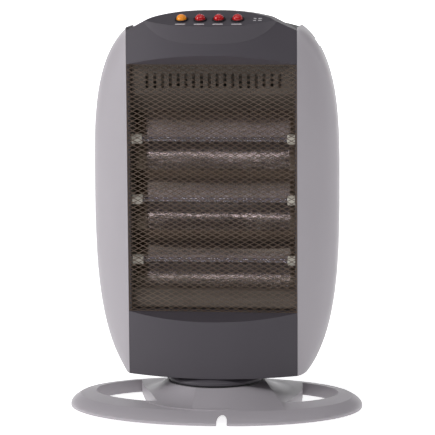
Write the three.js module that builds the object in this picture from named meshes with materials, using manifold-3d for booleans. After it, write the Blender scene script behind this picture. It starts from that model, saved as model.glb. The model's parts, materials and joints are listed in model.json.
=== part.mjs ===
// Oscillating halogen heater. Three quartz lamps lie across a polished reflector behind an
// expanded-metal guard. A dark front frame with a domed control pod stands between two light
// side panels, and the body swings on an oval ring base.
// Millimetres, +Z up. The front faces -Y, +X is the viewer's right, and the origin is on the
// floor under the swivel axis.
import * as THREE from 'three';
import { mergeVertices } from 'three/addons/utils/BufferGeometryUtils.js';
import Module from 'manifold-3d';

const wasm = await Module();
wasm.setup();

// ---------------------------------------------------------------- driving dimensions
const WALL = 2.5; // moulded casings
const SHEET = 1.0; // pressed metal
const FIT = 0.3; // gap between two fitted pieces

// Body silhouette, seen from the front
const BODY_HEIGHT = 440.5; // underside to where the outline closes at the top
const WAIST_DROP = 205; // from there down to the widest place
const LOWER_CLOSE = 32; // how far below the underside the outline would close
const PANEL_WIDTH = 47; // of a side panel at the widest place
const REAR_Y = 52; // back of the body

// Front frame
const FRAME_WIDTH = 206;
const FRAME_EDGE_Y = -28; // front surface at its left and right edges
const FRAME_CROWN = 27; // how far the middle stands in front of the edges
const FRAME_BACK_Y = -2;
const DOME_RISE = 2; // crown of the dome above the outline's top
const DOME_POWER = 2.5; // how flat the dome is between its shoulders
const DOME_SHOULDER_IN = 30; // shoulders, in from the frame's edges
const DOME_SHOULDER_DROP = 8;
const DOME_EDGE_DROP = 23.5;

// Window in the front frame
const LOWER_FASCIA = 77.5; // underside to the window, at the frame's edges
const UPPER_FASCIA = 62; // window to the outline's top
const LIP_DROP = 8; // how far the lower lip falls at the crown
const LIP_RISE = 12; // how far the upper lip rises at the crown
const RAIL_DEPTH = 12; // frame's side rails beside the window
const GUARD_SEAT = 2; // rails behind the frame's front edge, to let the guard in
const GUARD_SETBACK = 0.5; // guard behind the frame's front edge

// Control pod
const POD_RISE = 26; // where the pod leaves the front surface, above the window
const POD_SIDE = 29.4; // pod's sides, in from the frame's edges
const POD_DEPTH = 28;
const POD_FLARE = 0.24; // forward growth per millimetre of height
const PLATE_RISE = 21; // front edge of the control plate above the pod's foot
const PLATE_TILT = 20; // degrees from level

// Side panels
const PANEL_CORNER_Y = 14; // where the panel turns straight back
const PANEL_REAR_IN = 18; // rear edge, in front of the body's back
const PANEL_BULGE = 0.4; // how early the front face turns back
const PANEL_TIP = 1.5; // width at the top end
const PANEL_NOTCH_HEIGHT = 9;
const PANEL_NOTCH_DEPTH = 10;
const PANEL_NOTCH_DROP = 21; // below the panel's top end

// Rear housing
const REAR_TOP_DROP = 22; // top edge below the outline's top
const REAR_TOP_CROWN = 16;
const REAR_ROUNDING = 10;
const GRIP_WIDTH = 96;
const GRIP_HEIGHT = 26;
const GRIP_DEPTH = 24;
const GRIP_RISE = 11; // pocket's floor above the window
const VENT_ROWS = 9;
const VENT_PITCH = 13;
const VENT_HEIGHT = 4.5;
const VENT_LENGTH = 74;
const VENT_GAP = 14; // between the left and right slots
const VENT_DROP = 39; // first slot below the pocket's floor

// Guard: an expanded-metal net
const GUARD_COLUMNS = 6;
const GUARD_ROWS = 13; // full rows, with one staggered row between each two
const STRAND = 2.4;
const GUARD_BORDER = 3;

// Lamps and reflector
const LAMP_COUNT = 3;
const LAMP_Y = 3;
const LAMP_RADIUS = 4.5;
const LAMP_WALL = 1;
const CAP_RADIUS = 6.3;
const CAP_LENGTH = 15;
const CAP_GRIP = 4; // how much of the glass each cap holds
const CAP_STANDOUT = 1.7; // cap's end beyond its bracket
const FILAMENT_RADIUS = 0.9;
const REFLECTOR_IN = 2; // reflector's ends, in from the frame's edges
const REFLECTOR_CUSP_Y = 2;
const TROUGH_DEPTH = 20;
const FLANGE_Y = -8; // flat flanges above and below the troughs
const FLANGE_LOW = 2.6;
const FLANGE_HIGH = 36.6;
const FLANGE_SLOPE = 19; // height of the slope between trough and flange
const SLOT_COUNT = 18;
const SLOT_PITCH = 9.5;
const SLOT_WIDTH = 3.7;
const SLOT_HEIGHT = 18;
const SLOT_DROP = 12; // below the window's top
const SHIELD_GAP = 5; // troughs to the heat shield
const CUTOUT_RADIUS = 9;
const CUTOUT_DROP = 50; // thermal cutout below the window's top

// Switches
const SWITCH_COUNT = 4;
const SWITCH_PITCH = 22.4;
const SWITCH_SETBACK = 20; // behind the plate's front edge
const SWITCH_WALL = 0.8;
const SWITCH_LIP = 0.9; // bezel beyond the barrel
const SWITCH_BEZEL = 1.6; // bezel's height
const SWITCH_DEPTH = 12;
const ROCKER_RADIUS = 6.2;
const ROCKER_RISE = 3.4;
const ROCKER_DEPTH = 3.8;
const ROCKER_TILT = 8; // degrees each side of level
const RAISED_SWITCH = 4; // this one stands the other way

// Rear fittings
const SCREW_RADIUS = 2;
const SCREW_HEAD_RADIUS = 4;
const SCREW_LENGTH = 12;
const SCREW_IN = 7; // in from the frame's edges
const SCREW_RISE = 43.5; // lower pair above the underside
const SCREW_DROP = 11; // upper pair below the window's top
const BUSH_RADIUS = 6;
const BUSH_BORE = 3.6;
const BUSH_FLANGE = 3;
const BUSH_X = -60;
const BUSH_RISE = 21.5; // above the underside
const LOOM_RADIUS = 2.4;
const GATE_DROP = 20; // left loom's gate below the window's top
const GATE_RISE = 12; // right loom's gate above the window's bottom
const TERMINAL_IN = 26; // in from the chassis's right edge
const TERMINAL_Y = 30;
const TERMINAL_LENGTH = 30;
const TERMINAL_DEPTH = 16;
const TERMINAL_HEIGHT = 8;

// Swivel
const SWING = 35; // degrees each way
const MOTOR_OFFSET = 26; // motor axis in front of the swivel axis
const MOTOR_RADIUS = 22;
const MOTOR_HEIGHT = 15;
const PILOT_RADIUS = 9;
const SHAFT_RADIUS = 3;
const PIN_RADIUS = 2;
const PIN_PLAY = 0.95; // the pin swings this far off the straight slot's middle
const ARM_THICKNESS = 2.8;
const SLOT_PLATE_THICKNESS = 4;
const WELL_MARGIN = 5.1; // pin at rest to the well's wall
const WELL_DEPTH = 5.5;
const SLIDE_WIDTH = 10.6; // neck's edge beyond the well
const POST_RADIUS = 6;
const POST_HEAD = 5;
const POST_REACH = 9; // above the chassis
const NUT_HEIGHT = 5;
const NECK_GAP = 2; // between hub and neck
const NECK_HEIGHT = 8.5;
const NECK_TAPER = 4.6;
const NECK_ROOF = 2.2;
const NECK_SKIRT = 3;
const CHASSIS_THICKNESS = 1.5;
const CHASSIS_IN = 15; // in from the frame's edges

// Ring base
const RING_LENGTH = 360;
const RING_DEPTH = 240;
const RING_POWER = 2.08; // superellipse exponent
const RING_SIDES = 44;
const RING_BOTTOM = 1.5;
const RING_HEIGHT = 17;
const CREASE_DROP = 2; // crease below the ring's top
const CREASE_IN_X = 12;
const CREASE_IN_Y = 20;
const RIM_SIDE = 30; // ring's edge to its openings
const RIM_FRONT = 52.5;
const RIM_BACK = 37.5;
const HUB_TOP = 34;
const HUB_RIM = 1.4; // hub's edge beyond the neck
const HUB_SPREAD = 40;
const BRIDGE_LEFT = [2.5, 26, 46]; // beyond the hub at the front, the middle and the back
const BRIDGE_RIGHT = [25, 42, 38];
const RAMP_LEFT = -17.5;
const RAMP_RIGHT = 94;
const NOTCH_X = 20.5;
const NOTCH_WIDTH = 12.5;
const NOTCH_HEIGHT = 12;
const NOTCH_DEPTH = 24;
const FOOT_SIDE_IN = 40; // feet, in from the ring's edge
const FOOT_FRONT_IN = 72;
const FOOT_BACK_IN = 64;
const FOOT_RADIUS = 7.5;
const FOOT_HEIGHT = 3;
const COVER_LOW = 3;
const COVER_THICKNESS = 2;
const COVER_IN = 13; // cover's front and back, in from the openings'
const BOSS_RADIUS = 4;
const BOSS_REACH = 15; // beyond the well's wall
const TIP_X = 30;
const TIP_Y = 24;
const TIP_LENGTH = 24;
const TIP_WIDTH = 16;
const TIP_HEIGHT = 15;
const PLUNGER_RADIUS = 3;
const PLUNGER_LENGTH = 15;

// ---------------------------------------------------------------- sizes that follow
const CRANK_RADIUS = MOTOR_OFFSET * Math.sin(THREE.MathUtils.degToRad(SWING));
const PIN_REST = MOTOR_OFFSET + CRANK_RADIUS; // pin in front of the swivel axis at rest
const WELL_RADIUS = PIN_REST + PIN_RADIUS + WELL_MARGIN;
const WELL_FLOOR = HUB_TOP - WELL_DEPTH;
const NECK_RADIUS = WELL_RADIUS + SLIDE_WIDTH;
const NECK_BOTTOM = HUB_TOP + NECK_GAP;
const HUB_RADIUS = NECK_RADIUS + HUB_RIM;
const BODY_BOTTOM = NECK_BOTTOM + NECK_HEIGHT;
const BODY_TOP = BODY_BOTTOM + BODY_HEIGHT;
const BODY_WIDTH = FRAME_WIDTH + 2 * PANEL_WIDTH;
const WAIST_Z = BODY_TOP - WAIST_DROP;
const FRAME_CROWN_Y = FRAME_EDGE_Y - FRAME_CROWN;
const DOME_TOP = BODY_TOP + DOME_RISE;
const DOME_SHOULDER_X = FRAME_WIDTH / 2 - DOME_SHOULDER_IN;
const WINDOW_BOTTOM = BODY_BOTTOM + LOWER_FASCIA;
const WINDOW_TOP = BODY_TOP - UPPER_FASCIA;
const POD_Z = WINDOW_TOP + POD_RISE;
const POD_HALF_WIDTH = FRAME_WIDTH / 2 - POD_SIDE;
const PLATE_EDGE_Z = POD_Z + PLATE_RISE;
const PANEL_REAR_Y = REAR_Y - PANEL_REAR_IN;
const REAR_TOP_EDGE = BODY_TOP - REAR_TOP_DROP;
const GRIP_Z = WINDOW_TOP + GRIP_RISE;
const SWITCH_RADIUS = ROCKER_RADIUS + FIT + SWITCH_WALL; // barrel
const BUSH_Z = BODY_BOTTOM + BUSH_RISE;
const CHASSIS_BOTTOM = BODY_BOTTOM + WALL + FIT;
const CHASSIS_TOP = CHASSIS_BOTTOM + CHASSIS_THICKNESS;
const CHASSIS_SEAT = CHASSIS_TOP + FIT; // what stands on the chassis
const CHASSIS_HALF = FRAME_WIDTH / 2 - CHASSIS_IN;
const TERMINAL_X = CHASSIS_HALF - TERMINAL_IN;
const OPENING_HALF = RING_LENGTH / 2 - RIM_SIDE;
const OPENING_FRONT = RIM_FRONT - RING_DEPTH / 2;
const OPENING_BACK = RING_DEPTH / 2 - RIM_BACK;
const OPENING_Y = (OPENING_FRONT + OPENING_BACK) / 2;
const CREASE_Z = RING_HEIGHT - CREASE_DROP;
const COVER_TOP = COVER_LOW + COVER_THICKNESS;

// ---------------------------------------------------------------- finishes
const finish = (color, roughness, metalness = 0) => () =>
  new THREE.MeshStandardMaterial({ color, roughness, metalness });
const lightPlastic = finish(0xa9a4ab, 0.45);
const darkPlastic = finish(0x4e4b52, 0.5);
const blackPlastic = finish(0x1c1b1e, 0.6);
const whitePlastic = finish(0xe6e2da, 0.5);
const redPlastic = finish(0xa02528, 0.25);
const orangePlastic = finish(0xe07a20, 0.25);
const steel = finish(0x8d8a84, 0.4, 1);
const guardSteel = finish(0x6f675c, 0.45, 1);
const polishedAluminium = finish(0xc9c5bd, 0.18, 1);
const ceramic = finish(0xe9e4d8, 0.7);
const quartz = finish(0xb9b4c2, 0.1);
const tungsten = finish(0x5a564f, 0.5, 1);
const rubber = finish(0x222222, 0.9);
const sleeve = finish(0xd8d2c4, 0.8);

// ---------------------------------------------------------------- shape helpers
const rad = THREE.MathUtils.degToRad;
const steps = (count, make) => Array.from({ length: count + 1 }, (_, i) => make(i / count, i));
const placed = (geometry, ...columns) =>
  geometry.applyMatrix4(new THREE.Matrix4().makeBasis(...columns.map((c) => new THREE.Vector3(...c))));

function extruded(points, holes, depth, options = {}) {
  const shape = new THREE.Shape(points.map(([u, v]) => new THREE.Vector2(u, v)));
  shape.holes = holes.map((hole) => new THREE.Path(hole.map(([u, v]) => new THREE.Vector2(u, v))));
  return new THREE.ExtrudeGeometry(shape, { depth, bevelEnabled: false, steps: 1, ...options });
}

// Outlines are lists of [x, y], [y, z] or [x, z], and each prism runs between two planes.
const prismZ = (points, low, high, holes = []) => extruded(points, holes, high - low).translate(0, 0, low);
const prismX = (points, low, high, holes = []) =>
  placed(extruded(points, holes, high - low), [0, 1, 0], [0, 0, 1], [1, 0, 0]).translate(low, 0, 0);
const prismY = (points, low, high, holes = [], options = {}) =>
  placed(extruded(points, holes, high - low, options), [1, 0, 0], [0, 0, 1], [0, -1, 0])
    .translate(0, high, 0);
const block = (x0, x1, y0, y1, z0, z1) =>
  new THREE.BoxGeometry(x1 - x0, y1 - y0, z1 - z0).translate((x0 + x1) / 2, (y0 + y1) / 2, (z0 + z1) / 2);
const rod = (radius, z0, z1, x = 0, y = 0, sides = 24) =>
  new THREE.CylinderGeometry(radius, radius, z1 - z0, sides).rotateX(Math.PI / 2)
    .translate(x, y, (z0 + z1) / 2);
const rodX = (radius, x0, x1, y, z, sides = 24) =>
  rod(radius, x0, x1, 0, 0, sides).rotateY(Math.PI / 2).translate(0, y, z);
const rodY = (radius, y0, y1, x, z, sides = 24) =>
  rod(radius, -y1, -y0, 0, 0, sides).rotateX(Math.PI / 2).translate(x, 0, z);
const turned = (profile, sides) =>
  new THREE.LatheGeometry(profile.map(([r, z]) => new THREE.Vector2(r, z)), sides).rotateX(Math.PI / 2);
const circle = (radius, u = 0, v = 0, sides = 20) =>
  steps(sides - 1, (_, i) => [u + radius * Math.cos((2 * Math.PI * i) / sides),
    v + radius * Math.sin((2 * Math.PI * i) / sides)]);

// A skin over rings of equal length at rising heights, capped flat at both ends.
function lofted(rings) {
  const count = rings[0].points.length;
  const positions = rings.flatMap(({ z, points }) => points.flatMap(([x, y]) => [x, y, z]));
  const faces = [];
  for (let level = 0; level < rings.length - 1; level++) {
    for (let i = 0; i < count; i++) {
      const a = level * count + i;
      const b = level * count + ((i + 1) % count);
      faces.push(a, b, b + count, a, b + count, a + count);
    }
  }
  const flat = ({ points }) =>
    THREE.ShapeUtils.triangulateShape(points.map(([x, y]) => new THREE.Vector2(x, y)), []);
  const top = (rings.length - 1) * count;
  flat(rings[0]).forEach(([a, b, c]) => faces.push(a, c, b));
  flat(rings[rings.length - 1]).forEach(([a, b, c]) => faces.push(top + a, top + b, top + c));
  const geometry = new THREE.BufferGeometry();
  geometry.setAttribute('position', new THREE.Float32BufferAttribute(positions, 3));
  geometry.setIndex(faces);
  return geometry;
}

// A round tube along a path of [x, y, z] points.
function tube(path, radius, sides = 8, perSpan = 3) {
  const curve = new THREE.CatmullRomCurve3(path.map((p) => new THREE.Vector3(...p)), false, 'centripetal');
  const section = new THREE.Shape(circle(radius, 0, 0, sides).map(([u, v]) => new THREE.Vector2(u, v)));
  return new THREE.ExtrudeGeometry(section,
    { steps: perSpan * (path.length - 1), extrudePath: curve, bevelEnabled: false });
}

function volumeOf(position, index) {
  const corner = [0, 1, 2].map(() => new THREE.Vector3());
  let sum = 0;
  for (let i = 0; i < index.length; i += 3) {
    corner.forEach((v, k) => v.fromBufferAttribute(position, index[i + k]));
    sum += corner[0].dot(corner[1].clone().cross(corner[2])) / 6;
  }
  return sum;
}

// A closed solid of a geometry, with its faces turned outward.
function solid(geometry) {
  const bare = new THREE.BufferGeometry();
  bare.setAttribute('position', geometry.attributes.position);
  if (geometry.index) bare.setIndex(geometry.index);
  const merged = mergeVertices(bare, 1e-4);
  const index = Array.from(merged.index.array);
  const triVerts = [];
  for (let i = 0; i < index.length; i += 3) {
    const [a, b, c] = index.slice(i, i + 3);
    if (a !== b && b !== c && c !== a) triVerts.push(a, b, c);
  }
  if (volumeOf(merged.attributes.position, triVerts) < 0) triVerts.reverse();
  return new wasm.Manifold(new wasm.Mesh({
    numProp: 3,
    vertProperties: Float32Array.from(merged.attributes.position.array),
    triVerts: Uint32Array.from(triVerts),
  }));
}

const joined = (...geometries) => geometries.map(solid).reduce((a, b) => a.add(b));
const cut = (body, ...tools) => tools.reduce((a, b) => a.subtract(b.getMesh ? b : solid(b)), body);

function toGeometry(body) {
  const mesh = body.getMesh();
  const geometry = new THREE.BufferGeometry();
  geometry.setAttribute('position', new THREE.BufferAttribute(mesh.vertProperties, 3));
  geometry.setIndex(new THREE.BufferAttribute(mesh.triVerts, 1));
  geometry.computeVertexNormals();
  return geometry;
}

function piece(name, shape, material, place = {}) {
  const mesh = new THREE.Mesh(toGeometry(shape.getMesh ? shape : solid(shape)), material());
  mesh.name = name;
  mesh.position.set(...(place.at ?? [0, 0, 0]));
  mesh.rotation.set(...(place.turn ?? [0, 0, 0]));
  return mesh;
}

// ---------------------------------------------------------------- outlines shared by pieces
// The reflector fills the frame's width, a bracket stands at each end of it, and the lamps run
// from bracket to bracket.
const reflectorHalf = FRAME_WIDTH / 2 - REFLECTOR_IN;
const bracketX = reflectorHalf + FIT;
const capEnd = bracketX + SHEET + CAP_STANDOUT;
const lampSpan = capEnd - CAP_LENGTH; // inner face of each cap
const glassHalf = lampSpan + CAP_GRIP;
const LOOM_X = capEnd + LOOM_RADIUS + FIT; // the wiring runs down outside the caps

const PANEL_EDGE_X = FRAME_WIDTH / 2 + FIT;

// Half the body's width at a height: a rounded outline, widest at the waist.
function halfWidth(z) {
  const reach = z > WAIST_Z ? WAIST_DROP : WAIST_Z - BODY_BOTTOM + LOWER_CLOSE;
  return (BODY_WIDTH / 2) * (1 - (Math.abs(z - WAIST_Z) / reach) ** 3) ** 0.25;
}

// The height above the waist at which the outline has narrowed to a half-width.
const heightWhere = (half) => WAIST_Z + WAIST_DROP * (1 - (half / (BODY_WIDTH / 2)) ** 4) ** (1 / 3);
const PANEL_TOP = heightWhere(PANEL_EDGE_X + PANEL_TIP);

// Shared heights, closer together where the outline turns.
const LEVELS = steps(17, (t) =>
  BODY_BOTTOM + (PANEL_TOP - BODY_BOTTOM) * (t - 0.13 * Math.sin(2 * Math.PI * t)));

const frameRadius = ((FRAME_WIDTH / 2) ** 2 + (FRAME_EDGE_Y - FRAME_CROWN_Y) ** 2)
  / (2 * (FRAME_EDGE_Y - FRAME_CROWN_Y));
const frameCentreY = FRAME_CROWN_Y + frameRadius;
const frameFrontY = (x, inset = 0) => frameCentreY - Math.sqrt((frameRadius - inset) ** 2 - x * x);

// Dome over the control pod: an arc between the shoulders and a straight fall beyond them.
function domeZ(x) {
  const away = Math.abs(x);
  const crowned = DOME_SHOULDER_DROP * (away / DOME_SHOULDER_X) ** DOME_POWER;
  if (away <= DOME_SHOULDER_X) return DOME_TOP - crowned;
  const fall = (DOME_EDGE_DROP - DOME_SHOULDER_DROP) / DOME_SHOULDER_IN;
  return DOME_TOP - DOME_SHOULDER_DROP - fall * (away - DOME_SHOULDER_X);
}

const superellipse = (a, b, power, sides, centreY = 0) => steps(sides - 1, (_, i) => {
  const angle = (2 * Math.PI * i) / sides;
  const [c, s] = [Math.cos(angle), Math.sin(angle)];
  const bent = (value) => Math.sign(value) * Math.abs(value) ** (2 / power);
  return [a * bent(c), centreY + b * bent(s)];
});

// ---------------------------------------------------------------- front frame
const plateEdgeY = FRAME_CROWN_Y - POD_FLARE * (PLATE_EDGE_Z - POD_Z);
const plateSlope = Math.tan(rad(PLATE_TILT));

// The frame's outer form, or with an inset the space inside its walls.
function frameForm(inset) {
  const half = FRAME_WIDTH / 2 - inset;
  const back = inset ? FRAME_BACK_Y + 10 : FRAME_BACK_Y;
  const far = 30; // beyond every face
  const front = steps(16, (t) => [half * (2 * t - 1), frameFrontY(half * (2 * t - 1), inset)]);
  const plan = solid(prismZ([...front, [half, back], [-half, back]], 0, DOME_TOP + far));
  const pod = solid(lofted([POD_Z - 15, DOME_TOP + far].map((z) => ({
    z,
    points: superellipse(POD_HALF_WIDTH - inset + 2 * POD_FLARE * (z - POD_Z),
      POD_DEPTH - inset + POD_FLARE * (z - POD_Z), 2, 28, FRAME_CROWN_Y + POD_DEPTH),
  })))).intersect(solid(block(-far * 4, far * 4, -far * 3, back, 0, DOME_TOP + far)));
  const arch = steps(16, (t) => [half * (1 - 2 * t), domeZ(half * (1 - 2 * t)) - inset]);
  const outline = solid(prismY([[-half, BODY_BOTTOM + inset], [half, BODY_BOTTOM + inset], ...arch],
    FRAME_CROWN_Y - far, back));
  const frontFall = (far * LIP_DROP) / FRAME_CROWN;
  const frontRise = (far * LIP_RISE) / FRAME_CROWN;
  const [low, high] = [WINDOW_BOTTOM - inset, WINDOW_TOP + inset];
  const lips = prismX([[FRAME_EDGE_Y - far, low - frontFall], [FRAME_EDGE_Y, low], [FRAME_EDGE_Y, high],
    [FRAME_EDGE_Y - far, high + frontRise]], -half - far, half + far);
  const tunnelHalf = inset ? half + far : FRAME_WIDTH / 2 - WALL;
  const tunnel = block(-tunnelHalf, tunnelHalf, FRAME_EDGE_Y - 0.01, back + far, low, high);
  const seat = block(-half - far, half + far, FRAME_EDGE_Y - 0.01, FRAME_EDGE_Y + GUARD_SEAT, low, high);
  const drop = inset / Math.cos(rad(PLATE_TILT));
  const plate = prismX([[plateEdgeY - far, PLATE_EDGE_Z - drop - far * plateSlope],
    [plateEdgeY + 2 * far, PLATE_EDGE_Z - drop + 2 * far * plateSlope],
    [plateEdgeY - far, DOME_TOP + far * 2]], -half - far, half + far);
  return cut(plan.add(pod).intersect(outline), lips, tunnel, seat, plate);
}

function switchHolder(i) {
  const holder = new THREE.Group();
  holder.position.set((i - (SWITCH_COUNT - 1) / 2) * SWITCH_PITCH, plateEdgeY + SWITCH_SETBACK,
    PLATE_EDGE_Z + SWITCH_SETBACK * plateSlope);
  holder.rotation.x = rad(PLATE_TILT);
  holder.updateMatrixWorld();
  return holder;
}

function frontFrame() {
  const far = 60;
  const half = FRAME_WIDTH / 2;
  const sideCuts = [-1, 1].map((side) => block(side * half - WALL * 2, side * half + WALL * 2,
    FRAME_EDGE_Y + RAIL_DEPTH, far, WINDOW_BOTTOM, WINDOW_TOP));
  const switchHoles = steps(SWITCH_COUNT - 1, (_, i) => rod(SWITCH_RADIUS + FIT, -far / 4, far / 4)
    .applyMatrix4(switchHolder(i).matrixWorld));
  const neckHole = rod(WELL_RADIUS - WALL, 0, BODY_BOTTOM + 2 * WALL, 0, 0, 32);
  const domeBack = block(-half, half, FRAME_BACK_Y - WALL, far, REAR_TOP_EDGE - WALL, DOME_TOP + far);
  const inside = cut(frameForm(WALL), domeBack);
  return piece('front_frame', cut(frameForm(0), inside, ...sideCuts, ...switchHoles, neckHole),
    darkPlastic);
}

// ---------------------------------------------------------------- side panels
// Section of the right-hand panel at a height: front face, corner and straight side.
function panelSection(z, inset, innerX, rearY) {
  const half = halfWidth(z) - inset;
  const start = [innerX, FRAME_EDGE_Y + inset];
  const control = [half, FRAME_EDGE_Y + inset + PANEL_BULGE * (PANEL_CORNER_Y - FRAME_EDGE_Y)];
  const corner = [half, PANEL_CORNER_Y];
  const curve = steps(8, (t) => [0, 1].map((k) =>
    (1 - t) ** 2 * start[k] + 2 * t * (1 - t) * control[k] + t * t * corner[k]));
  return [[innerX, rearY], ...curve, [half, rearY]];
}

function sidePanel(name, side) {
  const outer = lofted(LEVELS.map((z) => ({ z, points: panelSection(z, 0, PANEL_EDGE_X, PANEL_REAR_Y) })));
  const inner = lofted(LEVELS.map((z, i) => ({
    z: i ? z : z + WALL,
    points: panelSection(z, WALL, PANEL_EDGE_X - 5, PANEL_REAR_Y + 5),
  })).slice(0, -1));
  const notchZ = PANEL_TOP - PANEL_NOTCH_DROP;
  const notch = block(PANEL_EDGE_X, BODY_WIDTH, PANEL_REAR_Y - PANEL_NOTCH_DEPTH, PANEL_REAR_Y + 5,
    notchZ - PANEL_NOTCH_HEIGHT / 2, notchZ + PANEL_NOTCH_HEIGHT / 2);
  const right = toGeometry(cut(solid(outer), inner, notch, rearForm(-FIT)));
  return piece(name, side > 0 ? right : right.scale(-1, 1, 1), lightPlastic);
}

// ---------------------------------------------------------------- rear housing
// The housing narrows to the frame's width in front of this plane, where the panels curve in.
const shoulderY = PANEL_CORNER_Y + FIT;

function rearOutline(inset) {
  const gap = WALL + 1.5 * FIT + inset;
  const low = BODY_BOTTOM + inset;
  const between = LEVELS.filter((z) => z > low + REAR_ROUNDING / 2 && z < REAR_TOP_EDGE - WALL);
  const sideLine = [low, ...between].map((z) => [halfWidth(z) - gap, z]);
  const edge = sideLine[sideLine.length - 1][0] - 3;
  const top = steps(12, (t) => [edge * (1 - 2 * t),
    REAR_TOP_EDGE - inset + REAR_TOP_CROWN * (1 - (1 - 2 * t) ** 2)]);
  const left = sideLine.map(([x, z]) => [-x, z]).reverse();
  return [...sideLine, ...top, ...left];
}

function rearForm(inset) {
  const round = REAR_ROUNDING - inset;
  const straight = prismY(rearOutline(inset), -60, REAR_Y - inset - round, [], {
    bevelEnabled: true, bevelThickness: round, bevelSize: round, bevelOffset: -round, bevelSegments: 3,
  });
  const front = inset ? FRAME_BACK_Y - 20 : FRAME_BACK_Y + FIT;
  const half = FRAME_WIDTH / 2 - inset;
  const wide = block(-BODY_WIDTH, BODY_WIDTH, shoulderY + inset, REAR_Y * 2, 0, DOME_TOP);
  return solid(straight).intersect(joined(wide, block(-half, half, front, REAR_Y, 0, DOME_TOP)));
}

const screwX = FRAME_WIDTH / 2 - SCREW_IN;
const screwPlaces = [BODY_BOTTOM + SCREW_RISE, WINDOW_TOP - SCREW_DROP]
  .flatMap((z) => [[-screwX, z], [screwX, z]]);

function rearHousing() {
  const back = REAR_Y + 10;
  const pocket = (wall) => block(-GRIP_WIDTH / 2 - wall, GRIP_WIDTH / 2 + wall,
    REAR_Y - GRIP_DEPTH - wall, back, GRIP_Z - wall, GRIP_Z + GRIP_HEIGHT + wall);
  const vents = steps(VENT_ROWS - 1, (_, row) => [-1, 1].map((side) => {
    const inner = VENT_GAP / 2;
    const z = GRIP_Z - VENT_DROP - row * VENT_PITCH;
    return block(Math.min(side * inner, side * (inner + VENT_LENGTH)),
      Math.max(side * inner, side * (inner + VENT_LENGTH)), REAR_Y - 2 * WALL, back, z - VENT_HEIGHT, z);
  })).flat();
  const screwHoles = screwPlaces.map(([x, z]) => rodY(SCREW_RADIUS + FIT, 0, back, x, z, 12));
  const neckHole = rod(WELL_RADIUS - WALL, 0, BODY_BOTTOM + 2 * WALL, 0, 0, 32);
  const cordHole = rodY(BUSH_RADIUS + FIT, 0, back, BUSH_X, BUSH_Z, 16);
  const inside = cut(rearForm(WALL), pocket(WALL));
  const half = FRAME_WIDTH / 2;
  const windowGap = block(-half, half, FRAME_BACK_Y - 5, shoulderY + 2 * WALL, WINDOW_BOTTOM, WINDOW_TOP);
  const loomGates = [[-1, WINDOW_TOP - GATE_DROP], [1, WINDOW_BOTTOM + GATE_RISE]].map(([side, z]) =>
    rodY(LOOM_RADIUS + 3, shoulderY - 5, shoulderY + 2 * WALL, side * LOOM_X, z, 12));
  return piece('rear_housing', cut(rearForm(0), inside, pocket(0), windowGap, ...vents,
    ...screwHoles, ...loomGates, neckHole, cordHole), blackPlastic);
}

function rearScrew(i) {
  const [x, z] = screwPlaces[i];
  const shape = joined(rodY(SCREW_HEAD_RADIUS, REAR_Y + FIT, REAR_Y + 2.2, 0, 0, 14),
    rodY(SCREW_RADIUS, REAR_Y - SCREW_LENGTH, REAR_Y + 1, 0, 0, 10));
  return piece(`rear_screw_${i + 1}`, shape, steel, { at: [x, 0, z] });
}

function cordBush() {
  const flange = rodY(BUSH_RADIUS + BUSH_FLANGE, REAR_Y + FIT, REAR_Y + 3, 0, 0, 16);
  const barrel = rodY(BUSH_RADIUS, REAR_Y - WALL - 6, REAR_Y + 2, 0, 0, 16);
  const bore = rodY(BUSH_BORE, 0, REAR_Y + 10, 0, 0, 16);
  return piece('cord_bush', cut(joined(flange, barrel), bore), blackPlastic, { at: [BUSH_X, 0, BUSH_Z] });
}

// ---------------------------------------------------------------- guard
// It lies in a seat in front of the frame's rails, as wide as the frame.
function guard() {
  const halfWide = FRAME_WIDTH / 2 - FIT;
  const front = FRAME_EDGE_Y + GUARD_SETBACK;
  const [low, high] = [WINDOW_BOTTOM + FIT, WINDOW_TOP - FIT];
  const pitchX = (2 * (halfWide - GUARD_BORDER)) / GUARD_COLUMNS;
  const pitchZ = (high - low - 2 * GUARD_BORDER) / GUARD_ROWS;
  const meshes = [];
  for (let row = 0; row < 2 * GUARD_ROWS - 1; row++) {
    const staggered = row % 2;
    for (let column = 0; column < GUARD_COLUMNS - staggered; column++) {
      const x = (column + 0.5 + 0.5 * staggered - GUARD_COLUMNS / 2) * pitchX;
      const z = low + GUARD_BORDER + (row + 1) * 0.5 * pitchZ;
      const [rx, rz] = [pitchX / 2 - STRAND * 0.9, pitchZ / 2 - STRAND * 0.6];
      meshes.push([[x - rx, z], [x, z - rz], [x + rx, z], [x, z + rz]]);
    }
  }
  const border = [[-halfWide, low], [halfWide, low], [halfWide, high], [-halfWide, high]];
  return piece('guard', prismY(border, front, front + SHEET, meshes), guardSteel);
}

// ---------------------------------------------------------------- lamps and reflector
const [panelLow, panelHigh] = [WINDOW_BOTTOM + FIT, WINDOW_TOP - FIT];
const firstTrough = panelLow + FLANGE_LOW + FLANGE_SLOPE;
const lastTrough = panelHigh - FLANGE_HIGH - FLANGE_SLOPE;
const lampPitch = (lastTrough - firstTrough) / LAMP_COUNT;
const lampZ = (i) => firstTrough + (i + 0.5) * lampPitch;
const capBore = lampSpan + CAP_GRIP + 4;

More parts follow.
